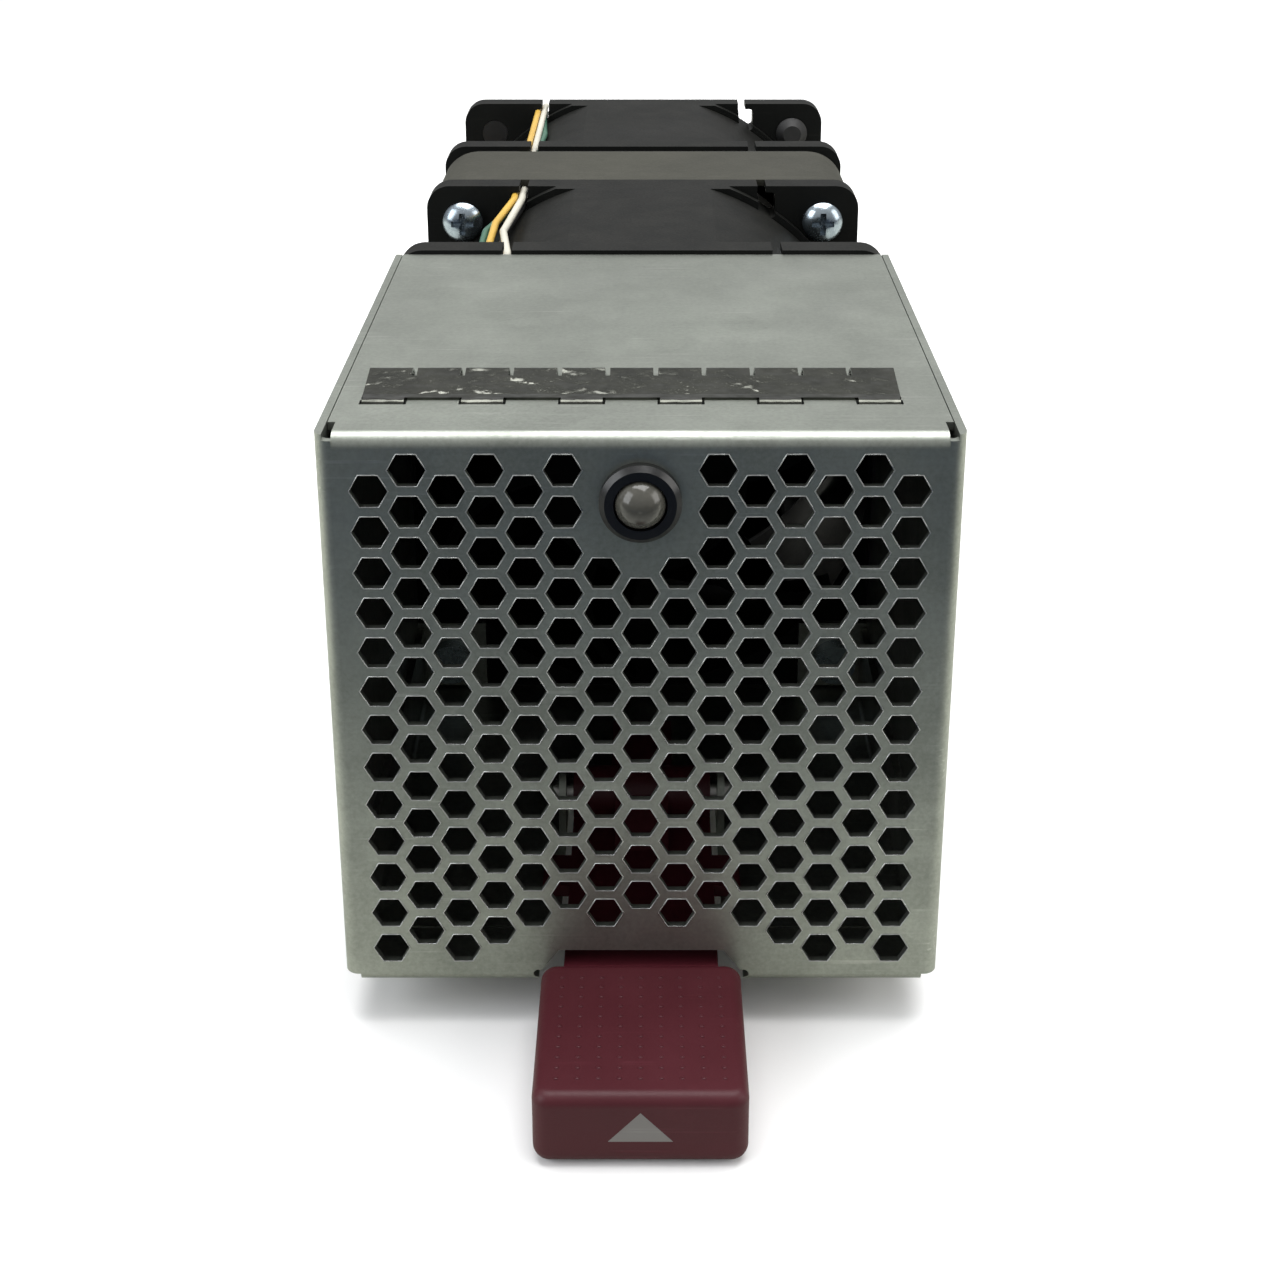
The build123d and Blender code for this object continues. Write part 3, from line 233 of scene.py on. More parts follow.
def zinc_coating_group():
    """Zinc-coated sheet: soft spangle, blotches, rolling lines, fine scratches and finger marks."""
    tree, given, result = shader_group(
        "zinc coating",
        [("Place", "NodeSocketVector", None), ("Light", "NodeSocketColor", srgb(170, 170, 164)),
         ("Dark", "NodeSocketColor", srgb(120, 121, 118)), ("Spangle", "NodeSocketFloat", 240.0),
         ("Rolling", "NodeSocketFloat", 0.15), ("Marks", "NodeSocketFloat", 0.5)], SURFACE_OUTPUTS)
    place = given["Place"]
    warp = mix_colour(tree, 0.006, place, noise_node(tree, place, 90.0).outputs["Color"])
    crystals = add(tree, "ShaderNodeTexVoronoi", feature="SMOOTH_F1")
    tree.links.new(warp, crystals.inputs["Vector"])
    tree.links.new(given["Spangle"], crystals.inputs["Scale"])
    crystals.inputs["Smoothness"].default_value = 0.35
    grain = add(tree, "ShaderNodeSeparateColor")
    tree.links.new(crystals.outputs["Color"], grain.inputs["Color"])
    blotch = noise(tree, place, 38.0, 4.0, 0.62)
    cloud = noise(tree, place, 120.0, 3.0, 0.6)
    lines = noise(tree, stretched(tree, place, (60.0, 2600.0, 2600.0)), 1.0, 2.0, 0.5)
    speckle = noise(tree, place, 2200.0, 3.0, 0.7)
    tone = summed(
        tree, swing(tree, grain.outputs[0], 0.22), swing(tree, blotch, 0.7), swing(tree, cloud, 0.6),
        swing(tree, lines, given["Rolling"]), swing(tree, speckle, 0.9), 0.5, clamp=True)
    scratches = scratch_mask(tree, place)
    marks = scaled(tree, scratches, given["Marks"])
    colour = mix_colour(tree, tone, given["Dark"], given["Light"])
    colour = mix_colour(tree, scaled(tree, marks, 0.5), colour, srgb(205, 205, 200))
    smear = noise(tree, stretched(tree, place, (1.0, 1.0, 0.6)), 70.0, 5.0, 0.7)
    smear = scaled(tree, remap(tree, smear, 0.42, 0.62, 0.0, 1.0), given["Marks"])
    rough = remap(tree, tone, 0.0, 1.0, 0.44, 0.34)
    rough = summed(tree, rough, scaled(tree, smear, 0.10), scaled(tree, marks, -0.08), clamp=True)
    height = summed(
        tree, scaled(tree, speckle, 0.5), scaled(tree, cloud, 1.5), scaled(tree, lines, 0.4),
        scaled(tree, scratches, -0.5))
    tree.links.new(colour, result["Colour"])
    tree.links.new(rough, result["Roughness"])
    tree.links.new(bump(tree, height, 0.00002, 0.5), result["Normal"])
    return tree


def scratch_mask(tree, place):
    """Thin bright lines in three directions, broken up so that each one is short."""
    total = None
    for turn, seed in (((0.3, 0.2, 0.5), 0.0), ((1.1, 0.7, -0.9), 0.31), ((-0.6, 1.4, 2.1), 0.77)):
        shift = add(tree, "ShaderNodeVectorMath", operation="ADD")
        tree.links.new(stretched(tree, place, (35.0, 2400.0, 2400.0), turn), shift.inputs[0])
        shift.inputs[1].default_value = (seed, seed, seed)
        line = remap(tree, noise(tree, shift.outputs[0], 1.0, 1.0, 0.4), 0.69, 0.75, 0.0, 1.0)
        total = line if total is None else math_node(tree, "MAXIMUM", total, line)
    broken = remap(tree, noise(tree, place, 160.0, 2.0, 0.5), 0.5, 0.62, 0.0, 1.0)
    return scaled(tree, total, broken, clamp=True)


def moulded_skin_group():
    """Moulded plastic: spark-eroded grain, slight colour drift, rubbed patches and fine scuffs."""
    tree, given, result = shader_group(
        "moulded skin",
        [("Place", "NodeSocketVector", None), ("Base", "NodeSocketColor", srgb(40, 40, 40)),
         ("Rubbed", "NodeSocketColor", srgb(70, 70, 70)), ("Grain", "NodeSocketFloat", 3000.0),
         ("Depth", "NodeSocketFloat", 0.00002), ("Gloss", "NodeSocketFloat", 0.5),
         ("Wear", "NodeSocketFloat", 0.4)], SURFACE_OUTPUTS)
    place = given["Place"]
    grain = noise(tree, place, given["Grain"], 2.0, 0.55)
    drift = noise(tree, place, 45.0, 3.0, 0.6)
    rubbed = remap(tree, noise(tree, place, 130.0, 5.0, 0.68), 0.50, 0.74, 0.0, 1.0)
    scuffs = scratch_mask(tree, place)
    worn = scaled(tree, summed(tree, scaled(tree, rubbed, 0.5), scuffs, clamp=True), given["Wear"])
    colour = mix_colour(tree, worn, given["Base"], given["Rubbed"])
    shade = remap(tree, drift, 0.3, 0.7, 0.86, 1.12)
    tint = add(tree, "ShaderNodeCombineColor")
    for socket in tint.inputs:
        tree.links.new(shade, socket)
    colour = mix_colour(tree, 1.0, colour, tint.outputs[0], "MULTIPLY")
    rough = summed(tree, given["Gloss"], swing(tree, drift, 0.3), swing(tree, grain, 0.15), clamp=True)
    height = summed(tree, grain, scaled(tree, scuffs, -0.4))
    tree.links.new(colour, result["Colour"])
    tree.links.new(rough, result["Roughness"])
    tree.links.new(bump(tree, height, given["Depth"], 0.6), result["Normal"])
    return tree


def drawn_metal_group():
    """Plated or drawn metal: lines along one axis, faint tarnish and small pits."""
    tree, given, result = shader_group(
        "drawn metal",
        [("Place", "NodeSocketVector", None), ("Bright", "NodeSocketColor", srgb(200, 200, 200)),
         ("Tarnish", "NodeSocketColor", srgb(130, 130, 130)),
         ("Lines", "NodeSocketVector", (80.0, 4000.0, 4000.0)), ("Polish", "NodeSocketFloat", 0.3)],
        SURFACE_OUTPUTS)
    place = given["Place"]
    aim = add(tree, "ShaderNodeVectorMath", operation="MULTIPLY")
    tree.links.new(place, aim.inputs[0])
    tree.links.new(given["Lines"], aim.inputs[1])
    lines = noise(tree, aim.outputs[0], 1.0, 2.0, 0.5)
    stain = remap(tree, noise(tree, place, 260.0, 5.0, 0.65), 0.38, 0.68, 0.0, 1.0)
    pits = remap(tree, noise(tree, place, 5200.0, 2.0, 0.5), 0.28, 0.36, 1.0, 0.0)
    tone = summed(tree, scaled(tree, stain, 0.6), scaled(tree, lines, 0.35), clamp=True)
    colour = mix_colour(tree, tone, given["Bright"], given["Tarnish"])
    rough = summed(tree, given["Polish"], swing(tree, tone, 0.25, 0.4), scaled(tree, pits, 0.1), clamp=True)
    height = summed(tree, lines, scaled(tree, pits, -0.7))
    tree.links.new(colour, result["Colour"])
    tree.links.new(rough, result["Roughness"])
    tree.links.new(bump(tree, height, 0.00001, 0.5), result["Normal"])
    return tree


def settled_dust_group():
    """Mask of the dust that lies on faces that look up."""
    tree, given, result = shader_group(
        "settled dust", [("Place", "NodeSocketVector", None), ("Amount", "NodeSocketFloat", 0.4)],
        [("Mask", "NodeSocketFloat")])
    geometry = add(tree, "ShaderNodeNewGeometry")
    split = add(tree, "ShaderNodeSeparateXYZ")
    tree.links.new(geometry.outputs["Normal"], split.inputs[0])
    facing = remap(tree, split.outputs[2], 0.35, 1.0, 0.0, 1.0)
    patchy = remap(tree, noise(tree, given["Place"], 210.0, 6.0, 0.72), 0.36, 0.66, 0.15, 1.0)
    specks = remap(tree, noise(tree, given["Place"], 3600.0, 1.0, 0.5), 0.60, 0.72, 0.0, 1.0)
    mask = scaled(tree, summed(tree, scaled(tree, patchy, 0.7), specks), facing)
    tree.links.new(scaled(tree, mask, given["Amount"], clamp=True), result["Mask"])
    return tree


DUST = srgb(112, 108, 100)
GROUPS = {
    "zinc": zinc_coating_group(), "skin": moulded_skin_group(), "drawn": drawn_metal_group(),
    "dust": settled_dust_group()}


# Materials

def start_material(name):
    material = bpy.data.materials.new(name)
    material.use_nodes = True
    tree = material.node_tree
    shader = tree.nodes["Principled BSDF"]
    place = add(tree, "ShaderNodeTexCoord").outputs["Object"]
    return material, tree, shader, place


def place_group(tree, kind, place, **values):
    node = add(tree, "ShaderNodeGroup", node_tree=GROUPS[kind])
    tree.links.new(place, node.inputs["Place"])
    for name, value in values.items():
        node.inputs[name].default_value = value
    return node.outputs


def join_surface(tree, shader, surface, colour=None):
    tree.links.new(colour or surface["Colour"], shader.inputs["Base Color"])
    tree.links.new(surface["Roughness"], shader.inputs["Roughness"])
    tree.links.new(surface["Normal"], shader.inputs["Normal"])


def zinc_sheet():
    material, tree, shader, place = start_material("galvanised")
    join_surface(tree, shader, place_group(tree, "zinc", place, Light=srgb(163, 167, 159),
                                           Dark=srgb(121, 125, 118), Marks=0.5))
    shader.inputs["Metallic"].default_value = 0.92
    return material


def punched_edge():
    return metal("punched edge", (190, 192, 190), (140, 142, 142), 0.28, metallic=0.9)


def spring_strip():
    """Bright spring strip that is not quite flat, so its mirror image breaks up into dark and light patches."""
    material, tree, shader, place = start_material("spring steel")
    surface = place_group(tree, "drawn", place, Bright=srgb(100, 101, 94), Tarnish=srgb(38, 40, 36),
                          Lines=(900.0, 900.0, 900.0), Polish=0.12)
    join_surface(tree, shader, surface)
    ripples = bump(tree, noise(tree, place, 340.0, 2.0, 0.5), 0.00045, 0.8, surface["Normal"])
    tree.links.new(ripples, shader.inputs["Normal"])
    shader.inputs["Metallic"].default_value = 0.95
    return material


def metal(name, bright, tarnish, polish, lines=(80.0, 4000.0, 4000.0), metallic=1.0):
    material, tree, shader, place = start_material(name)
    join_surface(tree, shader, place_group(tree, "drawn", place, Bright=srgb(*bright), Tarnish=srgb(*tarnish),
                                           Lines=lines, Polish=polish))
    shader.inputs["Metallic"].default_value = metallic
    return material


def plastic(name, base, rubbed, gloss, grain=3000.0, depth=20, wear=0.4, dust=0.0, specular=0.5, coat=0.0):
    """Moulded plastic. The depth of its grain is in micrometres."""
    material, tree, shader, place = start_material(name)
    surface = place_group(tree, "skin", place, Base=srgb(*base), Rubbed=srgb(*rubbed), Grain=grain,
                          Depth=depth / MICROMETRES, Gloss=gloss, Wear=wear)
    colour = surface["Colour"]
    if dust:
        film = place_group(tree, "dust", place, Amount=dust)
        colour = mix_colour(tree, film["Mask"], colour, DUST)
    join_surface(tree, shader, surface, colour)
    shader.inputs["Specular IOR Level"].default_value = specular
    shader.inputs["Coat Weight"].default_value = coat
    shader.inputs["Coat Roughness"].default_value = 0.25
    return material


def insulation(name, base, rubbed):
    return plastic(name, base, rubbed, gloss=0.34, grain=1800.0, depth=10, wear=0.2, coat=0.2)


def lens_epoxy():
    """Frosted epoxy: milky outside, clear enough to show the parts cast into it."""
    material, tree, shader, place = start_material("frosted epoxy")
    haze = noise(tree, place, 900.0, 3.0, 0.5)
    tree.links.new(mix_colour(tree, haze, srgb(78, 77, 70), srgb(104, 102, 94)), shader.inputs["Base Color"])
    tree.links.new(remap(tree, haze, 0.3, 0.7, 0.08, 0.18), shader.inputs["Roughness"])
    shader.inputs["Transmission Weight"].default_value = 0.35
    shader.inputs["IOR"].default_value = 1.5
    return material


def circuit_mask():
    material, tree, shader, place = start_material("circuit board")
    tracks = add(tree, "ShaderNodeTexBrick", offset=0.5, squash=1.0)
    tree.links.new(stretched(tree, place, (420.0, 420.0, 420.0)), tracks.inputs["Vector"])
    tracks.inputs["Color1"].default_value = srgb(30, 92, 58)
    tracks.inputs["Color2"].default_value = srgb(34, 104, 64)
    tracks.inputs["Mortar"].default_value = srgb(70, 130, 84)
    tree.links.new(tracks.outputs["Color"], shader.inputs["Base Color"])
    rough = remap(tree, noise(tree, place, 800.0), 0.3, 0.7, 0.25, 0.45)
    tree.links.new(rough, shader.inputs["Roughness"])
    return material


def foam():
    material, tree, shader, place = start_material("foam seal")
    cells = add(tree, "ShaderNodeTexVoronoi", feature="F1")
    tree.links.new(place, cells.inputs["Vector"])
    cells.inputs["Scale"].default_value = 2600.0
    tone = remap(tree, cells.outputs["Distance"], 0.0, 0.7, 0.0, 1.0)
    tree.links.new(mix_colour(tree, tone, srgb(16, 16, 16), srgb(40, 39, 38)), shader.inputs["Base Color"])
    tree.links.new(remap(tree, tone, 0.0, 1.0, 0.95, 0.8), shader.inputs["Roughness"])
    tree.links.new(bump(tree, cells.outputs["Distance"], 0.00008, 0.8), shader.inputs["Normal"])
    return material


# Metals: colour, tarnish, roughness, stretch of the drawing lines. Plastics: colour, rubbed colour, gloss, then
# grain size, grain depth and wear.
MATERIALS = {
    "galvanised": zinc_sheet(),
    "spring_steel": spring_strip(),
    "bare_steel": metal("bare steel", (196, 196, 194), (140, 138, 134), 0.3, (4000.0, 90.0, 4000.0)),
    "zinc_screw": metal("zinc plate", (176, 188, 196), (120, 132, 142), 0.24, (1500.0, 1500.0, 1500.0)),
    "brass": metal("turned brass", (206, 176, 110), (150, 122, 70), 0.28, (4000.0, 120.0, 4000.0)),
    "contact_gold": metal("gold flash", (224, 190, 112), (176, 140, 76), 0.22, (4000.0, 120.0, 4000.0)),
    "lamination": metal("lamination", (140, 140, 144), (92, 92, 96), 0.42, (90.0, 3200.0, 90.0), 0.8),
    "copper_wire": metal("enamelled copper", (186, 110, 66), (132, 66, 38), 0.3, (90.0, 2400.0, 2400.0), 0.8),
    "black_screw": plastic("blackened steel", (24, 24, 25), (60, 60, 60), 0.36, 2400.0, 10, 0.3),
    "buffer_rubber": plastic("buffer rubber", (20, 20, 20), (44, 44, 43), 0.62, 1800.0, 30, 0.3),
    "led_holder": plastic("holder nylon", (9, 9, 10), (34, 34, 36), 0.30, 4200.0, 10, 0.2),
    "shrink_sleeve": plastic("shrink sleeve", (18, 18, 19), (48, 48, 48), 0.42, 2200.0, 30, 0.2),
    "latch_plastic": plastic("burgundy moulding", (68, 21, 29), (92, 40, 50), 0.46, 3400.0, 20, 0.25,
                             specular=0.3),
    "arrow_grey": plastic("arrow inlay", (118, 115, 113), (138, 136, 133), 0.55, 3000.0, 10, 0.35),
    "fan_frame": plastic("black moulding", (17, 18, 17), (38, 38, 35), 0.5, 2800.0, 20, 0.3,
                         dust=0.05, specular=0.09),
    "fan_impeller": plastic("impeller moulding", (20, 20, 21), (44, 44, 44), 0.4, 2800.0, 10, 0.2,
                            dust=0.08, specular=0.3),
    "ferrite": plastic("bonded ferrite", (44, 43, 42), (68, 66, 64), 0.6, 2400.0, 40, 0.3),
    "spacer_plastic": plastic("spacer moulding", (54, 54, 48), (72, 71, 64), 0.58, 2200.0, 40, 0.4,
                              dust=0.08, specular=0.12),
    "connector_plastic": plastic("connector housing", (22, 22, 23), (52, 52, 52), 0.4, 3000.0, 20, 0.3),
    "lead_yellow": insulation("yellow insulation", (196, 158, 66), (214, 186, 110)),
    "lead_green": insulation("green insulation", (58, 98, 80), (86, 124, 108)),
    "lead_white": insulation("white insulation", (196, 193, 180), (212, 210, 200)),
    "lead_black": insulation("black insulation", (24, 24, 24), (52, 52, 52)),
    "led_lens": lens_epoxy(),
    "circuit_board": circuit_mask(),
    "foam_seal": foam()}

SLOTS = {part["node"]: part["material_slot"] for part in frame["record"]["subparts"]}
for node_name, slot_name in SLOTS.items():
    finishes = frame["nodes"][node_name].data.materials
    finishes.clear()
    finishes.append(MATERIALS[slot_name])


# Geometry Nodes helpers

def geometry_tree(name, inputs):
    tree = bpy.data.node_groups.new(name, "GeometryNodeTree")
    for label, kind in inputs:
        tree.interface.new_socket(label, in_out="INPUT", socket_type=kind)
    tree.interface.new_socket("Geometry", in_out="OUTPUT", socket_type="NodeSocketGeometry")
    return tree, add(tree, "NodeGroupInput").outputs, add(tree, "NodeGroupOutput").inputs["Geometry"]


def vector_of(tree, x, y, z):
    node = add(tree, "ShaderNodeCombineXYZ")
    for socket, value in zip(node.inputs, (x, y, z)):
        feed(tree, socket, value)
    return node.outputs[0]


def grown_mesh(name, tree, values, body):
    """Run a Geometry Nodes tree on an empty mesh, keep the result as a plain mesh and let it ride on a body."""
    seed = bpy.data.objects.new(name + " seed", bpy.data.meshes.new(name + " seed"))
    bpy.context.scene.collection.objects.link(seed)
    modifier = seed.modifiers.new("grow", "NODES")
    modifier.node_group = tree
    for socket in tree.interface.items_tree:
        if socket.in_out == "INPUT" and socket.name in values:
            modifier[socket.identifier] = values[socket.name]
    bpy.context.view_layer.update()
    evaluated = seed.evaluated_get(bpy.context.evaluated_depsgraph_get())
    mesh = bpy.data.meshes.new_from_object(evaluated)
    bpy.data.objects.remove(seed)
    piece = bpy.data.objects.new(name, mesh)
    bpy.context.scene.collection.objects.link(piece)
    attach(piece, body)


def point_grid(tree, size_x, size_y, columns, rows):
    grid = add(tree, "GeometryNodeMeshGrid")
    for label, value in (("Size X", size_x), ("Size Y", size_y), ("Vertices X", columns), ("Vertices Y", rows)):
        feed(tree, grid.inputs[label], value)
    return grid.outputs["Mesh"]


def point_place(tree):
    """The x, y and z of the point at hand."""
    split = add(tree, "ShaderNodeSeparateXYZ")
    tree.links.new(add(tree, "GeometryNodeInputPosition").outputs[0], split.inputs[0])
    return split.outputs


def finished_copies(tree, points, piece, finish, result):
    """Set a copy of the piece on every point, shade the copies smooth and give them their material."""
    copies = add(tree, "GeometryNodeInstanceOnPoints")
    tree.links.new(points, copies.inputs["Points"])
    tree.links.new(piece, copies.inputs["Instance"])
    real = add(tree, "GeometryNodeRealizeInstances")
    tree.links.new(copies.outputs["Instances"], real.inputs["Geometry"])
    smooth = add(tree, "GeometryNodeSetShadeSmooth")
    tree.links.new(real.outputs["Geometry"], smooth.inputs["Geometry"])
    dressed = add(tree, "GeometryNodeSetMaterial")
    tree.links.new(smooth.outputs["Geometry"], dressed.inputs["Geometry"])
    tree.links.new(finish, dressed.inputs["Material"])
    tree.links.new(dressed.outputs["Geometry"], result)


def hole_rims_tree():
    """A fine rolled rim round every punched hole, on the same staggered grid as the holes."""
    tree, given, result = geometry_tree("hole rims", [
        ("Across Flats", "NodeSocketFloat"), ("Pitch", "NodeSocketFloat"), ("Columns", "NodeSocketInt"),
        ("Rows", "NodeSocketInt"), ("Top", "NodeSocketFloat"), ("Face", "NodeSocketFloat"),
        ("Lens Height", "NodeSocketFloat"), ("Lens Land", "NodeSocketFloat"),
        ("Latch Land Width", "NodeSocketFloat"), ("Latch Land Top", "NodeSocketFloat"),
        ("Rim Radius", "NodeSocketFloat"), ("Finish", "NodeSocketMaterial")])

    def calc(operation, first, second=None, clamp=False):
        return math_node(tree, operation, first, second, clamp)

    # Every other column is half a pitch lower. The even shift keeps the remainder from going negative.
    column_pitch = calc("MULTIPLY", given["Pitch"], math.cos(HALF_CORNER))
    width = calc("MULTIPLY", column_pitch, calc("SUBTRACT", given["Columns"], 1))
    height = calc("MULTIPLY", given["Pitch"], calc("SUBTRACT", given["Rows"], 1))
    x, y = point_place(tree)[:2]
    column = calc("ROUND", calc("DIVIDE", calc("ADD", x, calc("MULTIPLY", width, 0.5)), column_pitch))
    middle = calc("DIVIDE", calc("SUBTRACT", given["Columns"], 1), 2)
    odd = calc("MODULO", calc("ADD", calc("SUBTRACT", column, middle), EVEN_SHIFT), 2)
    stagger = calc("MULTIPLY", calc("MULTIPLY", odd, given["Pitch"]), 0.5)
    low = calc("SUBTRACT", y, calc("MULTIPLY", height, 0.5))
    z = calc("SUBTRACT", calc("ADD", given["Top"], low), stagger)
    spots = add(tree, "GeometryNodeSetPosition")
    grid = point_grid(tree, width, height, given["Columns"], given["Rows"])
    tree.links.new(grid, spots.inputs["Geometry"])
    tree.links.new(vector_of(tree, x, given["Face"], z), spots.inputs["Position"])

    # No hole lies on the land of the lens or on that of the latch
    placed_x, _, placed_z = point_place(tree)
    off = calc("SUBTRACT", placed_z, given["Lens Height"])
    squared = calc("ADD", calc("MULTIPLY", placed_x, placed_x), calc("MULTIPLY", off, off))
    near_lens = calc("LESS_THAN", calc("SQRT", squared), given["Lens Land"])
    half_land = calc("MULTIPLY", given["Latch Land Width"], 0.5)
    beside = calc("LESS_THAN", calc("ABSOLUTE", placed_x), half_land)
    under = calc("LESS_THAN", placed_z, given["Latch Land Top"])
    skip = calc("ADD", near_lens, calc("MULTIPLY", beside, under), clamp=True)
    kept = add(tree, "GeometryNodeDeleteGeometry", domain="POINT")
    tree.links.new(spots.outputs["Geometry"], kept.inputs["Geometry"])
    tree.links.new(calc("GREATER_THAN", skip, 0.5), kept.inputs["Selection"])

    outline = add(tree, "GeometryNodeCurvePrimitiveCircle")
    outline.inputs["Resolution"].default_value = HEXAGON_CORNERS
    corner_radius = calc("DIVIDE", given["Across Flats"], 2 * math.cos(HALF_CORNER))
    tree.links.new(corner_radius, outline.inputs["Radius"])
    profile = add(tree, "GeometryNodeCurvePrimitiveCircle")
    profile.inputs["Resolution"].default_value = RIM_SIDES
    tree.links.new(given["Rim Radius"], profile.inputs["Radius"])
    bead = add(tree, "GeometryNodeCurveToMesh")
    tree.links.new(outline.outputs["Curve"], bead.inputs["Curve"])
    tree.links.new(profile.outputs["Curve"], bead.inputs["Profile Curve"])
    upright = add(tree, "GeometryNodeTransform")
    tree.links.new(bead.outputs["Mesh"], upright.inputs["Geometry"])
    upright.inputs["Rotation"].default_value = (math.pi / 2, 0, 0)
    finished_copies(tree, kept.outputs["Geometry"], upright.outputs["Geometry"], given["Finish"], result)
    return tree


def grip_dots_tree():
    """Low domes in a square grid on top of the latch handle."""
    tree, given, result = geometry_tree("grip dots", [
        ("Columns", "NodeSocketInt"), ("Rows", "NodeSocketInt"), ("Across", "NodeSocketFloat"),
        ("Along", "NodeSocketFloat"), ("Dot Radius", "NodeSocketFloat"), ("Middle Y", "NodeSocketFloat"),
        ("Top Z", "NodeSocketFloat"), ("Finish", "NodeSocketMaterial")])
    width = scaled(tree, given["Across"], math_node(tree, "SUBTRACT", given["Columns"], 1))
    length = scaled(tree, given["Along"], math_node(tree, "SUBTRACT", given["Rows"], 1))
    moved = add(tree, "GeometryNodeTransform")
    grid = point_grid(tree, width, length, given["Columns"], given["Rows"])
    tree.links.new(grid, moved.inputs["Geometry"])
    tree.links.new(vector_of(tree, 0.0, given["Middle Y"], given["Top Z"]), moved.inputs["Translation"])
    dome = add(tree, "GeometryNodeMeshIcoSphere")
    dome.inputs["Subdivisions"].default_value = 2
    tree.links.new(given["Dot Radius"], dome.inputs["Radius"])
    flat = add(tree, "GeometryNodeTransform")
    tree.links.new(dome.outputs["Mesh"], flat.inputs["Geometry"])
    flat.inputs["Scale"].default_value = (1.0, 1.0, GRIP_DOT_HEIGHT)
    finished_copies(tree, moved.outputs["Geometry"], flat.outputs["Geometry"], given["Finish"], result)
    return tree


grown_mesh("grille_hole_rims", hole_rims_tree(), {
    "Across Flats": HOLE_ACROSS_FLATS, "Pitch": HOLE_PITCH, "Columns": HOLE_COLUMNS, "Rows": HOLE_ROWS,
    "Top": SHELL_HIGH.z - HOLE_TOP_MARGIN, "Face": FACE, "Lens Height": LENS_CENTRE.z, "Lens Land": LENS_LAND,
    "Latch Land Width": LATCH_LAND_WIDTH, "Latch Land Top": SHELL_LOW.z + LATCH_LAND_HEIGHT,
    "Rim Radius": RIM_RADIUS, "Finish": punched_edge()}, "root")

grown_mesh("latch_grip_dots", grip_dots_tree(), {
    "Columns": GRIP_COLUMNS, "Rows": GRIP_ROWS, "Across": GRIP_PITCH_ACROSS, "Along": GRIP_PITCH_ALONG,
    "Dot Radius": GRIP_DOT_RADIUS, "Middle Y": LEVER_LOW.y + HANDLE_LENGTH / 2,
    "Top Z": SHELL_LOW.z + LEVER_TOP_ABOVE_SHELL_BASE, "Finish": MATERIALS["latch_plastic"]},
    "latch")


def spring_coil():
    """The latch spring as a piece of its own: a copy of the part's mesh that rides on the root."""
    coil = bpy.data.objects.new("latch_spring_coil", frame["nodes"]["latch_spring"].data.copy())
    bpy.context.scene.collection.objects.link(coil)
    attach(coil, "root")
    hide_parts("latch_spring")
    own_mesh(coil)


spring_coil()


# Stage, lights and camera

def make_floor():
    mesh = bpy.data.meshes.new("floor")
    corners = [(-1, -1), (1, -1), (1, 1), (-1, 1)]
    mesh.from_pydata([(x * FLOOR_REACH, y * FLOOR_REACH, 0) for x, y in corners], [], [(0, 1, 2, 3)])
    floor = bpy.data.objects.new("floor", mesh)
    bpy.context.scene.collection.objects.link(floor)
    floor.location.z = -FLOOR_DROP
    material, tree, shader, place = start_material("pale floor with painted reflection")
    along = add(tree, "ShaderNodeSeparateXYZ")
    tree.links.new(place, along.inputs[0])
    # Painted reflection: rays other than the camera's see this floor go from bluish black far off to light warm
    # grey at the face, so the face mirrors painted shade
    ramp = remap(tree, along.outputs[1], PAINTED_REFLECTION_DARK_Y, FACE, 0.0, 1.0)
    lit = mix_colour(tree, ramp, PAINTED_REFLECTION_FAR_TONE, PAINTED_REFLECTION_NEAR_TONE)
    seen = add(tree, "ShaderNodeLightPath").outputs["Is Camera Ray"]
    tree.links.new(mix_colour(tree, seen, lit, FLOOR_SEEN_TONE), shader.inputs["Base Color"])
    shader.inputs["Roughness"].default_value = 0.9
    shader.inputs["Specular IOR Level"].default_value = 0.1
    mesh.materials.append(material)


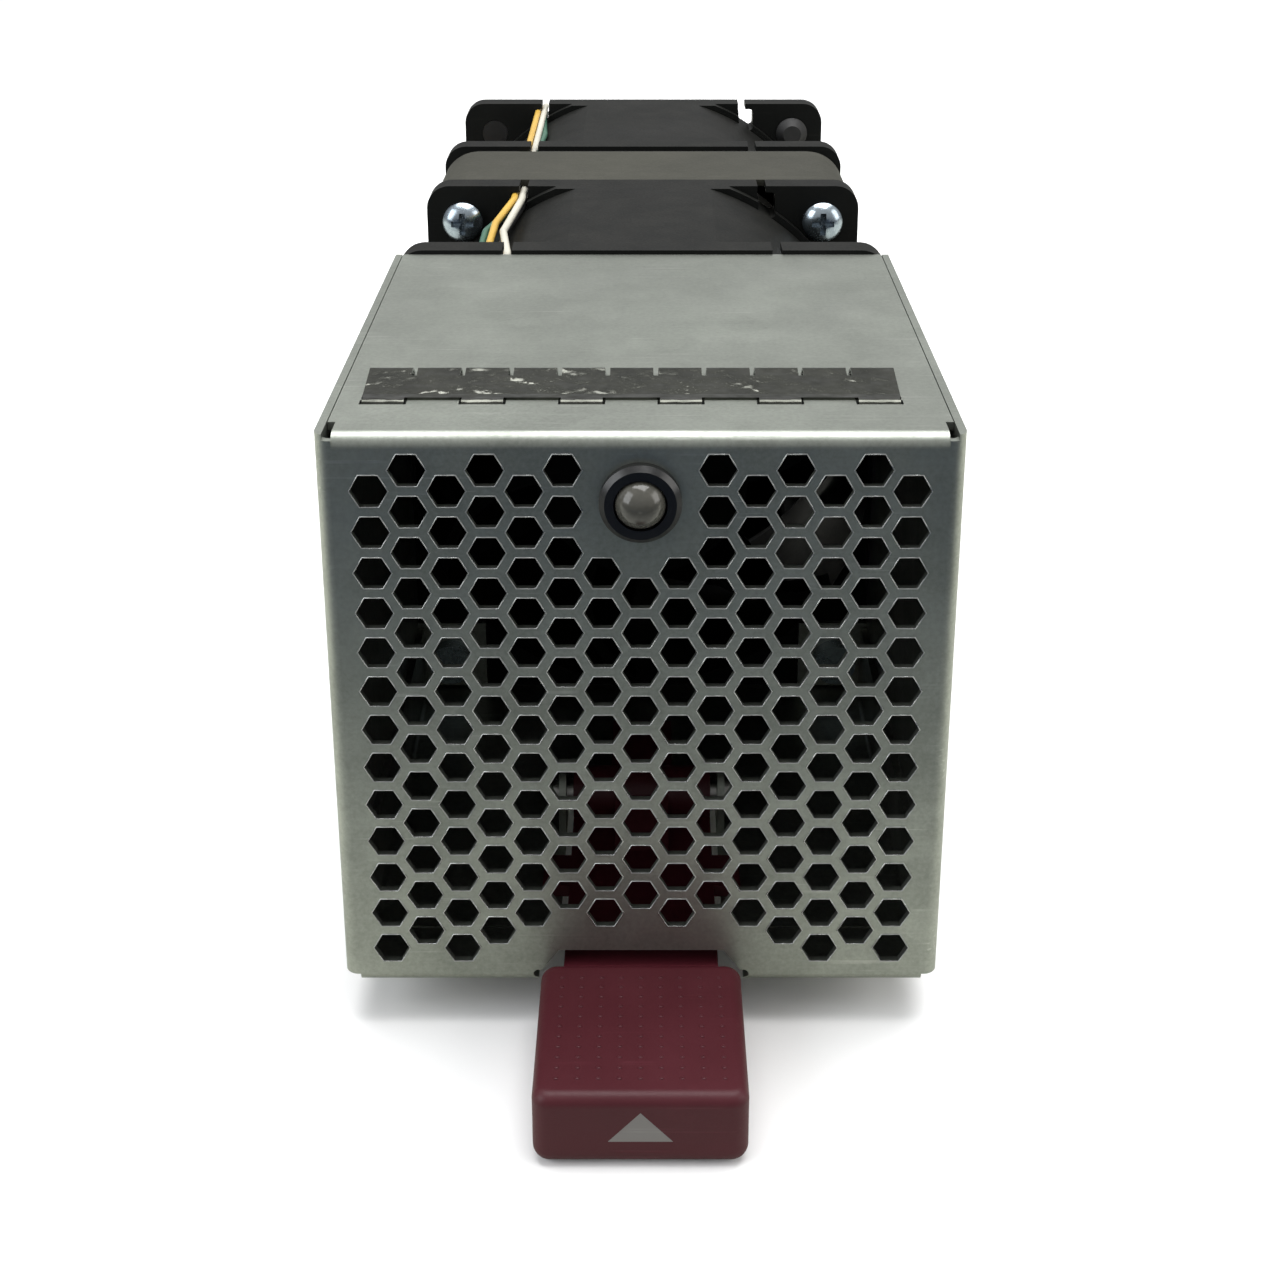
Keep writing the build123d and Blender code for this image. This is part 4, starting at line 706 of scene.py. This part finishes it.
def make_lamp(name, spot, size, power, colour):
    lamp = bpy.data.lights.new(name, "AREA")
    lamp.shape = "RECTANGLE"
    lamp.size, lamp.size_y = size
    lamp.energy = power
    lamp.color = colour
    holder = bpy.data.objects.new(name, lamp)
    bpy.context.scene.collection.objects.link(holder)
    holder.location = spot
    holder.rotation_euler = (Vector(LAMP_TARGET) - Vector(spot)).to_track_quat("-Z", "Y").to_euler()


def make_world():
    """Soft sky for the light and the reflections. The camera sees plain white."""
    world = bpy.data.worlds.new("studio")
    bpy.context.scene.world = world
    world.use_nodes = True
    tree = world.node_tree
    tree.nodes.clear()
    lit = add(tree, "ShaderNodeBackground")
    seen = add(tree, "ShaderNodeBackground")
    up = add(tree, "ShaderNodeSeparateXYZ")
    tree.links.new(add(tree, "ShaderNodeTexCoord").outputs["Generated"], up.inputs[0])
    lift = remap(tree, up.outputs[2], -0.1, 0.8, 0.0, 1.0)
    tree.links.new(mix_colour(tree, lift, HORIZON_TONE, ZENITH_TONE), lit.inputs["Color"])
    lit.inputs["Strength"].default_value = SKY_STRENGTH
    seen.inputs["Color"].default_value = (1, 1, 1, 1)
    seen.inputs["Strength"].default_value = 1.0
    both = add(tree, "ShaderNodeMixShader")
    tree.links.new(add(tree, "ShaderNodeLightPath").outputs["Is Camera Ray"], both.inputs[0])
    tree.links.new(lit.outputs[0], both.inputs[1])
    tree.links.new(seen.outputs[0], both.inputs[2])
    tree.links.new(both.outputs[0], add(tree, "ShaderNodeOutputWorld").inputs["Surface"])


def make_camera():
    data = bpy.data.cameras.new("camera")
    data.sensor_width = SENSOR
    data.lens = FOCAL_PIXELS / IMAGE_SIZE * SENSOR
    data.shift_x = -(CENTRE_COLUMN - IMAGE_SIZE / 2) / IMAGE_SIZE
    data.shift_y = (CENTRE_ROW - IMAGE_SIZE / 2) / IMAGE_SIZE
    data.clip_start = 0.01
    camera = bpy.data.objects.new("camera", data)
    bpy.context.scene.collection.objects.link(camera)
    camera.location = CAMERA_SPOT
    camera.rotation_euler = (math.radians(90 - PITCH_DOWN), 0, 0)
    bpy.context.scene.camera = camera


make_floor()
make_world()
for lamp_settings in LAMPS:
    make_lamp(*lamp_settings)
make_camera()
bpy.context.scene.view_settings.view_transform = "Standard"
